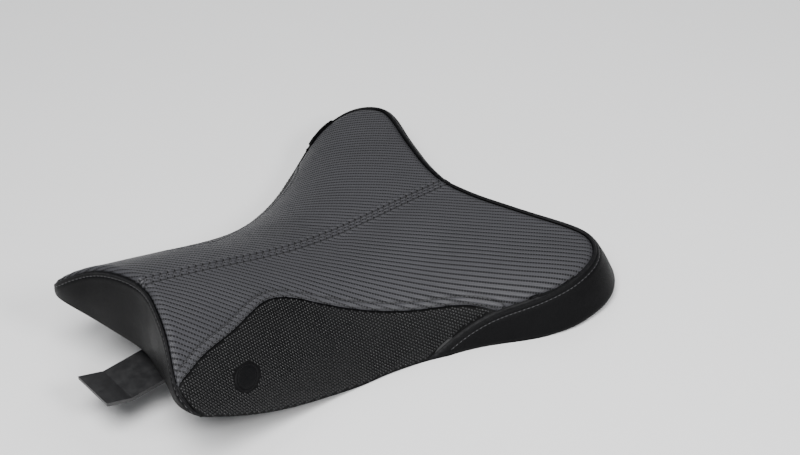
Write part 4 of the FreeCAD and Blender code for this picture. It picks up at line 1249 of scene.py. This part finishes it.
for number, word in enumerate(("left", "right")):
    mirror = number == 1
    top_panel, thigh_panel = tops[number], thighs[number]
    obj = thicken(sewn("cover_top_" + word + "_sewn", top_panel, mirror, top_wear_and_groove_shade, top_depth))
    inside = ("gel_pad_" + word,) + (("foam_core", "centre_seam_tape") if not mirror else ())
    add(obj, "top_vinyl", "top", "cover_top_" + word, *inside, pad=0.8)
    obj = thicken(sewn("cover_thigh_" + word + "_sewn", thigh_panel, mirror, thigh_wear, thigh_depth))
    add(obj, "thigh_vinyl", "thigh", "cover_thigh_" + word, pad=0.8)
    faces = rear_panel.faces.tolist()
    sign = -1 if mirror else 1
    if mirror:
        faces = [face[::-1] for face in faces]
    verts = to_frame(rear_panel.places * np.array([1, sign, 1]))
    obj = thicken(build_mesh("cover_rear_band_" + word + "_sewn", verts, faces, rear_panel.flat * MM, rear_wear))
    add(obj, "band_vinyl", "band", "cover_rear_band_" + word, pad=0.7)
    add(grip_dots("grip_dots_" + word, thigh_panel, dots_flat, mirror), "thigh_vinyl", "grip")
    add(badge("oval_" + word, thigh_panel, mirror), "thigh_vinyl", "band")
    rows = [
        seam_row(top_panel, centre_flat, CENTRE_ROW, 5, 4),
        seam_row(top_panel, thigh_flat[::-1], LAP_ROWS[0], 4, 4),
        seam_row(top_panel, thigh_flat[::-1], LAP_ROWS[1], 6, 6),
    ]
    add(stitches("stitches_top_" + word, rows, mirror), "thigh_vinyl", "thread")
    rows = [seam_row(rear_panel, band_row, REAR_ROW, 3, 3)]
    add(stitches("stitches_rear_" + word, rows, mirror), "band_vinyl", "thread")

verts = to_frame(nose_panel.places)
obj = build_mesh("cover_nose_band_sewn", verts, nose_panel.faces.tolist(), nose_panel.flat * MM, nose_wear)
add(thicken(obj), "band_vinyl", "band", "cover_nose_band", pad=0.7)
add(stitches("stitches_nose", [seam_row(nose_panel, nose_row, NOSE_ROW, 2, 2)]), "band_vinyl", "thread")

# ------------------------------------------------------------------ camera, floor and light

EYE = Vector((0.54845, 0.8273, 0.8395))
LOOK = Vector((-0.48597, -0.62405, -0.61188))
UP = Vector((-0.43242, -0.43672, 0.78885))
camera = bpy.data.objects.new("camera", bpy.data.cameras.new("camera"))
bpy.context.scene.collection.objects.link(camera)
camera.data.lens = 72
camera.data.sensor_width = 36
right = LOOK.cross(UP).normalized()
camera.matrix_world = Matrix((right, UP, -LOOK)).transposed().to_4x4()
camera.matrix_world.translation = EYE
bpy.context.scene.camera = camera

FLOOR_HALF = 6.0
corners = [(a * FLOOR_HALF, b * FLOOR_HALF, 0) for a, b in ((-1, -1), (1, -1), (1, 1), (-1, 1))]
floor = build_mesh("floor", corners, [[0, 1, 2, 3]])
stage_finish = Finish("stage", Roughness=0.85)
stage_finish.link("Base Color", stage_finish.blend(stage_finish.noise(0.2), (0.88, 0.88, 0.88), (0.91, 0.91, 0.91)))
paint(floor, stage_finish.material)


def soft_light(name, place, aim, size, power):
    """A square soft light that faces a point."""
    lamp = bpy.data.lights.new(name, "AREA")
    lamp.shape = "SQUARE"
    lamp.size = size
    lamp.energy = power
    obj = bpy.data.objects.new(name, lamp)
    bpy.context.scene.collection.objects.link(obj)
    obj.location = place
    obj.rotation_euler = (Vector(aim) - Vector(place)).to_track_quat("-Z", "Y").to_euler()
    return obj


soft_light("overhead", (0.55, 0.55, 1.5), (0, 0, 0.05), 0.9, 40)
soft_light("rear_right", (-0.9, -0.9, 1.5), (0.05, 0, 0.08), 0.9, 8)
soft_light("left", (-0.05, 1.35, 1.1), (0.05, 0.05, 0.05), 0.36, 14)
world = bpy.data.worlds.new("studio")
world.use_nodes = True
world.node_tree.nodes["Background"].inputs["Color"].default_value = (0.95, 0.97, 1.0, 1)
world.node_tree.nodes["Background"].inputs["Strength"].default_value = 0.28
bpy.context.scene.world = world
